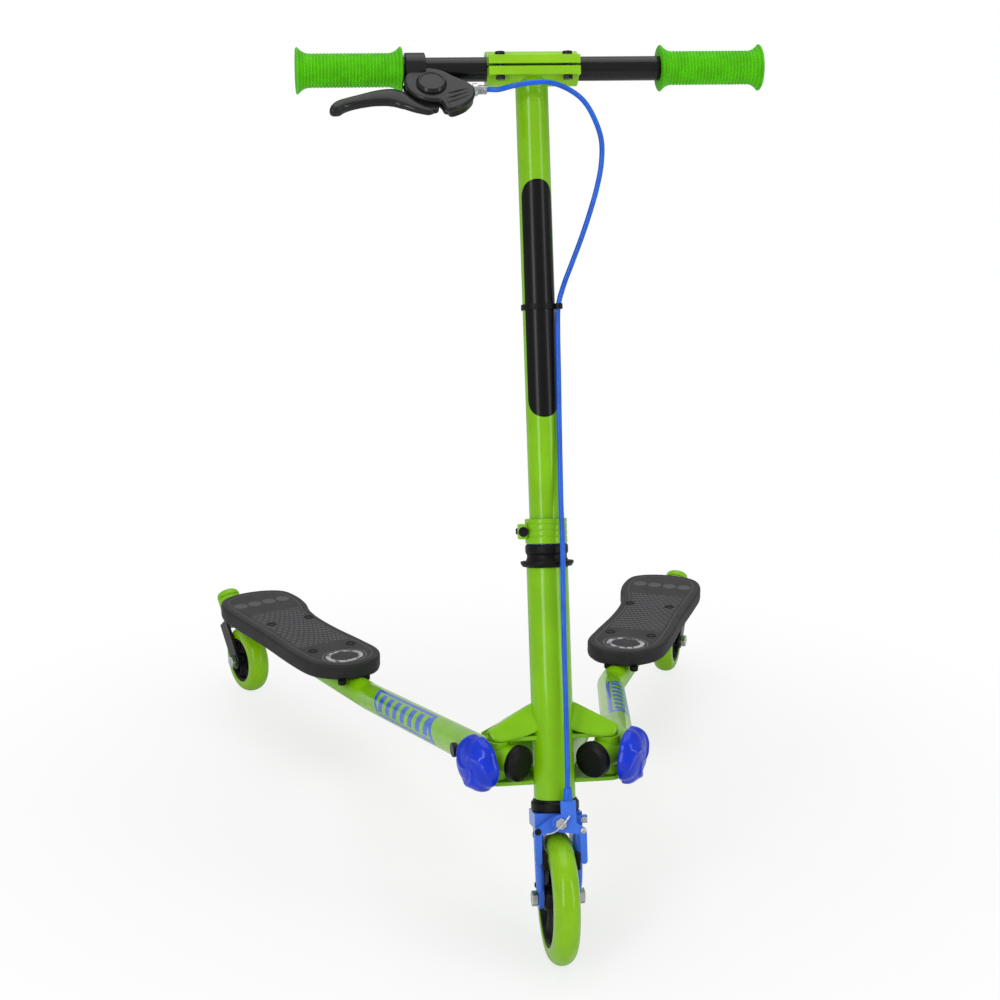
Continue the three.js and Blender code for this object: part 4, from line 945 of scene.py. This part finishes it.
# Locking knobs
# A moulded blue knob on a steel pin beside each hinge is pulled to free the arm. Its dome has
# five soft notches at the rim and a generic swirl of low ridges for the fingers.
knob_radius, knob_depth, knob_stand = 0.027, 0.019, 0.019
knob_skirt, knob_edge, knob_chamfer = 0.0022, 0.0012, 0.0010
knob_way = np.array([0.856923, -0.515445, 0.0])
knob_notches, notch_sink = 5, 0.0016
swirl_arms, swirl_twist, swirl_rise = 3, 6.72, 0.0023
knob_tint = (0, 48, 200)
knob_blue = moulded("knob_blue", knob_tint, 0.34, 420.0, coat=0.35)


def knob_grid():
    """The right knob's dome: the rim's radius sinks by the tenth power of cos(notches x
    angle / 2), the height rises as a quarter ellipse, and swirl ridges of cos(arms x angle -
    twist x radius share), sharpened by the third power, lift its flank."""
    angle = np.linspace(0, 2 * math.pi, 181)[None, :]
    rim = knob_radius - notch_sink * np.abs(np.cos(knob_notches * angle / 2)) ** 10
    climb = np.linspace(0, math.pi / 2, 50)[:, None]
    share = np.cos(climb) ** 0.72
    ridge = np.clip(np.cos(swirl_arms * angle - swirl_twist * share), 0, 1) ** 3 * np.sin(climb * 2) ** 0.8
    height = knob_skirt + (knob_depth - knob_skirt - swirl_rise) * np.sin(climb) ** 0.9 + swirl_rise * ridge
    back = rim - knob_edge
    flat = np.vstack([0 * rim, back * 0.6, back, rim, rim * share])
    tall = np.vstack([0 * rim, 0 * rim, 0 * rim, 0 * rim + knob_chamfer, height])
    first = np.array([knob_way[1] ** 2, -knob_way[0] * knob_way[1], -knob_way[0]])
    ways = np.cos(angle)[..., None] * first + np.sin(angle)[..., None] * np.cross(knob_way, first)
    return pivot + knob_stand * knob_way + flat[..., None] * ways + tall[..., None] * knob_way


for side, sign in both_sides:
    knob = skin(f"knob_{side}_moulded", knob_grid() * [sign, 1, 1], sharp=60)
    dress(knob, f"knob_{side}", "blue_plastic", knob_blue, f"knob_{side}")
    eased(f"knob_pin_{side}", "plated", 0.0003, f"knob_{side}", "bright_steel", bright_zinc)

# Foot decks
# Two moulded dark grey decks, hollow below and screwed to the saddles through four recesses.
# The top has a pebble grain inside a border line, a worn silver ring near its nose, a tread of
# short curved bars and a row of hatched discs at its tail.
deck_length, deck_half, deck_nose = 0.286, 0.047, 0.029
deck_top, deck_wall, deck_skin, deck_rim, deck_round = 0.126, 0.019, 0.005, 0.0045, 0.0048
outline_shares = np.array([
    [0.005, 0.2], [0.05, 0.62], [0.13, 0.9], [0.28, 0.97], [0.5, 0.96], [0.74, 1], [0.88, 0.98],
    [0.965, 0.74], [1, 0.2], [0.99, -0.45], [0.94, -0.93], [0.85, -1.05], [0.75, -1],
    [0.66, -0.84], [0.55, -0.77], [0.4, -0.8], [0.22, -0.92], [0.1, -0.94], [0.02, -0.62],
    [0, -0.2],
])
screw_spread = 0.024
foot_places = ((-0.014, -0.0238), (0.016, -0.0238))
ring_centre, ring_x, ring_y = (0.001, -0.002), 0.0225, 0.0175
disc_places, disc_row, disc_radius = (-0.028, -0.0095, 0.009, 0.0275), 0.211, 0.0085
tread_bend, tread_pitch, hatch_pitch = 12.0, 0.0062, 0.0042
deck_grey, deck_pale, ring_silver = (44, 43, 45), (112, 112, 114), (178, 180, 182)


def deck_finish():
    """Dark grey plastic. Masks are worked out in the deck's own measures, across and along: a
    border line from the piece's edge distance, the ring between two ellipses, the tread where
    two waves meet, and hatched discs."""
    made = Finish("deck_moulded", {"Specular IOR Level": 0.16})
    across, along, _ = made.chart.parts()
    edge, top = (made.place.node("ShaderNodeAttribute", {"attribute_name": mark}, {}, out=2)
                 for mark in ("edge", "top"))
    high = top.rise(0.5, 0.9)
    border = edge.rise(0.0082, 0.0088) * edge.rise(0.0104, 0.0098)
    oval = ((across - ring_centre[0]) / ring_x).far((along - ring_centre[1]) / ring_y)
    ring = oval.rise(0.72, 0.76) * oval.rise(1.0, 0.96)
    hairline = oval.rise(1.10, 1.12) * oval.rise(1.18, 1.16)
    field = edge.rise(0.0115, 0.013) * along.rise(0.044, 0.048) * along.rise(0.176, 0.172)
    bent = along - across * across * tread_bend
    tread = field * (bent.wave(tread_pitch) * (across + bent * 0.5).wave(tread_pitch * 2)).rise(0.12, 0.3)
    discs = 0.0
    for place in disc_places:
        discs = (across - place).far(along - disc_row).rise(disc_radius, disc_radius - 0.0006) + discs
    hatch = ((across + along).wave(hatch_pitch) * (across - along).wave(hatch_pitch)).rise(-0.1, 0.2)
    patches = discs * (hatch * 0.75 + 0.25)
    silver = ring * made.place.noise(160.0, 3.0).rise(0.34, 0.56)
    pale = (tread * 0.6 + patches * 0.9 + hairline * 0.8 + border * 0.4 + 0.12) * high
    marked = pale.between(made.clouded(deck_grey, 0.82, 1.18, 46.0, 4.0, 0.25), colour(*deck_pale))
    made.feed("Base Color", (silver * high).between(marked, colour(*ring_silver)))
    made.feed("Roughness", made.place.noise(180.0) * 0.16 + 0.5 - silver * 0.15)
    pebble = made.place.noise(520.0, 3.0)
    made.relief(pebble * 0.5 + (tread + patches + ring * 0.5 + hairline * 0.5 - border) * high, 0.0006)
    return made


def deck_shell():
    """The deck's grid, edge distance and top mark: rings inside the outline climb the hollow
    underside, the rim, the wall and the rounded edge, and end on the flat top."""
    points = outline_shares[:, ::-1] * [deck_half, deck_length] - [0, deck_nose]
    outline = threaded(points, 280, closed=True)
    low, top = deck_top - deck_wall, deck_top
    arc = np.linspace(0, math.pi / 2, 12)
    crown = np.stack([deck_round * (1 - np.cos(arc)), top - deck_round + deck_round * np.sin(arc)], axis=-1)
    under = [[0.012, top - deck_skin], [deck_rim + 0.001, top - deck_skin],
             [deck_rim, top - deck_skin - 0.001], [deck_rim, low], [deck_rim - 0.001, low], [0.0022, low],
             [0.0008, low + 0.0012], [0.0, low + 0.004]]
    lip = [[0.0072, top], [0.0084, top - 0.0004], [0.0100, top - 0.0004], [0.0112, top], [0.0140, top]]
    rows = np.vstack([under, crown, lip])
    local = ringed(outline, rows)
    inset = np.concatenate([[0.05], rows[:, 0], [0.05]])
    above = np.concatenate([[0], (rows[:, 1] > top - 0.0012) * 1.0, [1]])
    above[:len(under) + 1] = 0
    shape = local.shape[:2]
    return local, np.broadcast_to(inset[:, None], shape), np.broadcast_to(above[:, None], shape)


deck_plastic = deck_finish()
recess_black = moulded("recess_black", (14, 14, 15), 0.5, 700.0)
screw_places = [(across, along) for along in saddle_stations for across in (-screw_spread, screw_spread)]
dish = cut_mm([[0, -0.2], [2.2, -0.2], [2.4, 0.4], [4, 0.4], [5.2, 0.7], [5.8, 0.3], [5.8, -0.6],
               [0, -0.6]], 0.3)
foot = cut_mm([[0, 101.8], [4.2, 101.8], [4.8, 103.2], [4.8, 107.2], [0, 107.2]], 0.8)
for side, sign in both_sides:
    body = f"arm_{side}"
    local, inset, above = deck_shell()
    deck = skin(f"deck_{side}_moulded", deck_frame(local, sign), local[..., :2], 50, edge=inset, top=above)
    dress(deck, body, "black_plastic", deck_plastic, f"deck_{side}")
    for count, (across, along) in enumerate(screw_places):
        base = deck_frame([across, along, deck_top], sign)
        lathed(f"deck_{side}_recess_{count + 1}", dish, base, [0, 0, 1], 40, body, "black_plastic",
               recess_black)
    for count, (across, along) in enumerate(foot_places):
        base = deck_frame([across, along, 0], sign)
        lathed(f"deck_{side}_foot_{count + 1}", foot, base, [0, 0, 1], 32, body, "black_plastic", recess_black)

# Inclined casters
# A small lime wheel under each deck's tail runs in a black fork, whose kingpin leans back in
# the arm's housing. A lime dome caps the housing.
caster_tyre = 0.040, 0.012, 0.032, 0.027
caster_hub = 0.0267, 0.0112, 0.0075, 0.0131
dome = cut_mm([[0, 82.3], [14, 82.3], [14, 84.5], [12.8, 88], [9.8, 90.2], [5.2, 91.1], [0, 91.3]], 1.6)
for side in ("left", "right"):
    lean, wheel = joints[f"caster_{side}_swivel"], joints[f"caster_wheel_{side}_spin"]
    eased(f"caster_fork_{side}", "painted", 0.001, f"caster_{side}", "black_paint", satin_black)
    lathed(f"caster_cap_{side}_moulded", dome, lean["pos_m"], lean["axis"], 72, f"arm_{side}", "lime_plastic",
           lime_enamel, f"caster_cap_{side}")
    eased(f"caster_axle_{side}", "plated", 0.0005, f"caster_{side}", "bright_steel", bright_zinc)
    cast_tyre(f"caster_tyre_{side}", wheel, f"caster_wheel_{side}", *caster_tyre)
    moulded_hub(f"caster_hub_{side}", wheel, f"caster_wheel_{side}", *caster_hub)

# Studio
# A white floor that keeps the scooter's soft shadow and fades to plain white away from it, a
# white surround, and soft lamps: one overhead and a tall one at each side of the camera.
floor_reach, floor_shade = 12.0, 0.9
fade_near, fade_far, near_lift = 0.22, 0.80, 0.70
surround_light, gloss_share = 0.45, 0.25


def lamp(name, place, target, size, power):
    """A rectangular soft lamp that faces its target."""
    data = bpy.data.lights.new(name, "AREA")
    data.shape = "RECTANGLE"
    data.size, data.size_y = size
    data.energy = power
    stood = bpy.data.objects.new(name, data)
    stood.location = place
    stood.rotation_mode = "QUATERNION"
    stood.rotation_quaternion = (Vector(target) - Vector(place)).to_track_quat("-Z", "Y")
    bpy.context.scene.collection.objects.link(stood)


floor_grid = np.zeros((2, 2, 3))
floor_grid[..., 0], floor_grid[..., 1] = np.meshgrid([-floor_reach, floor_reach], [-floor_reach, floor_reach])
floor = skin("floor", floor_grid)
floor_finish = Finish("floor_white", {"Base Color": (*[floor_shade] * 3, 1.0), "Roughness": 0.5})
wide, deep, _ = floor_finish.place.parts()
seen = wide.node("ShaderNodeLightPath", {}, {}, out="Is Camera Ray")
blank = seen * (wide.far(deep).rise(fade_near, fade_far) * (1 - near_lift) + near_lift)
painted = Wire(floor_finish.tree, floor_finish.shader.outputs["BSDF"])
glow = wide.node("ShaderNodeEmission", {}, {})
mixed = wide.node("ShaderNodeMixShader", {}, {"Fac": blank, 1: painted, 2: glow})
floor_finish.tree.links.new(mixed.socket, floor_finish.tree.nodes["Material Output"].inputs["Surface"])
floor.data.materials.append(floor_finish.material)

world = bpy.data.worlds.new("surround")
bpy.context.scene.world = world
world.use_nodes = True
sky = world.node_tree.nodes["Background"]
ray = world.node_tree.nodes.new("ShaderNodeLightPath")
camera_ray, glossy_ray = (Wire(world.node_tree, ray.outputs[f"Is {kind} Ray"]) for kind in ("Camera", "Glossy"))
strength = camera_ray.least(glossy_ray * gloss_share) * (1 - surround_light) + surround_light
sky.inputs["Color"].default_value = (1.0, 1.0, 1.0, 1.0)
world.node_tree.links.new(strength.socket, sky.inputs["Strength"])

lamp("key", (-1.7, -2.3, 1.5), (0.0, -0.2, 0.4), (0.7, 2.2), 30)
lamp("fill", (2.0, -1.9, 1.2), (0.0, -0.2, 0.4), (0.6, 2.0), 16)
lamp("top", (0.0, 0.2, 3.0), (0.0, 0.0, 0.2), (2.4, 2.4), 32)

bpy.context.scene.view_settings.view_transform = "Standard"
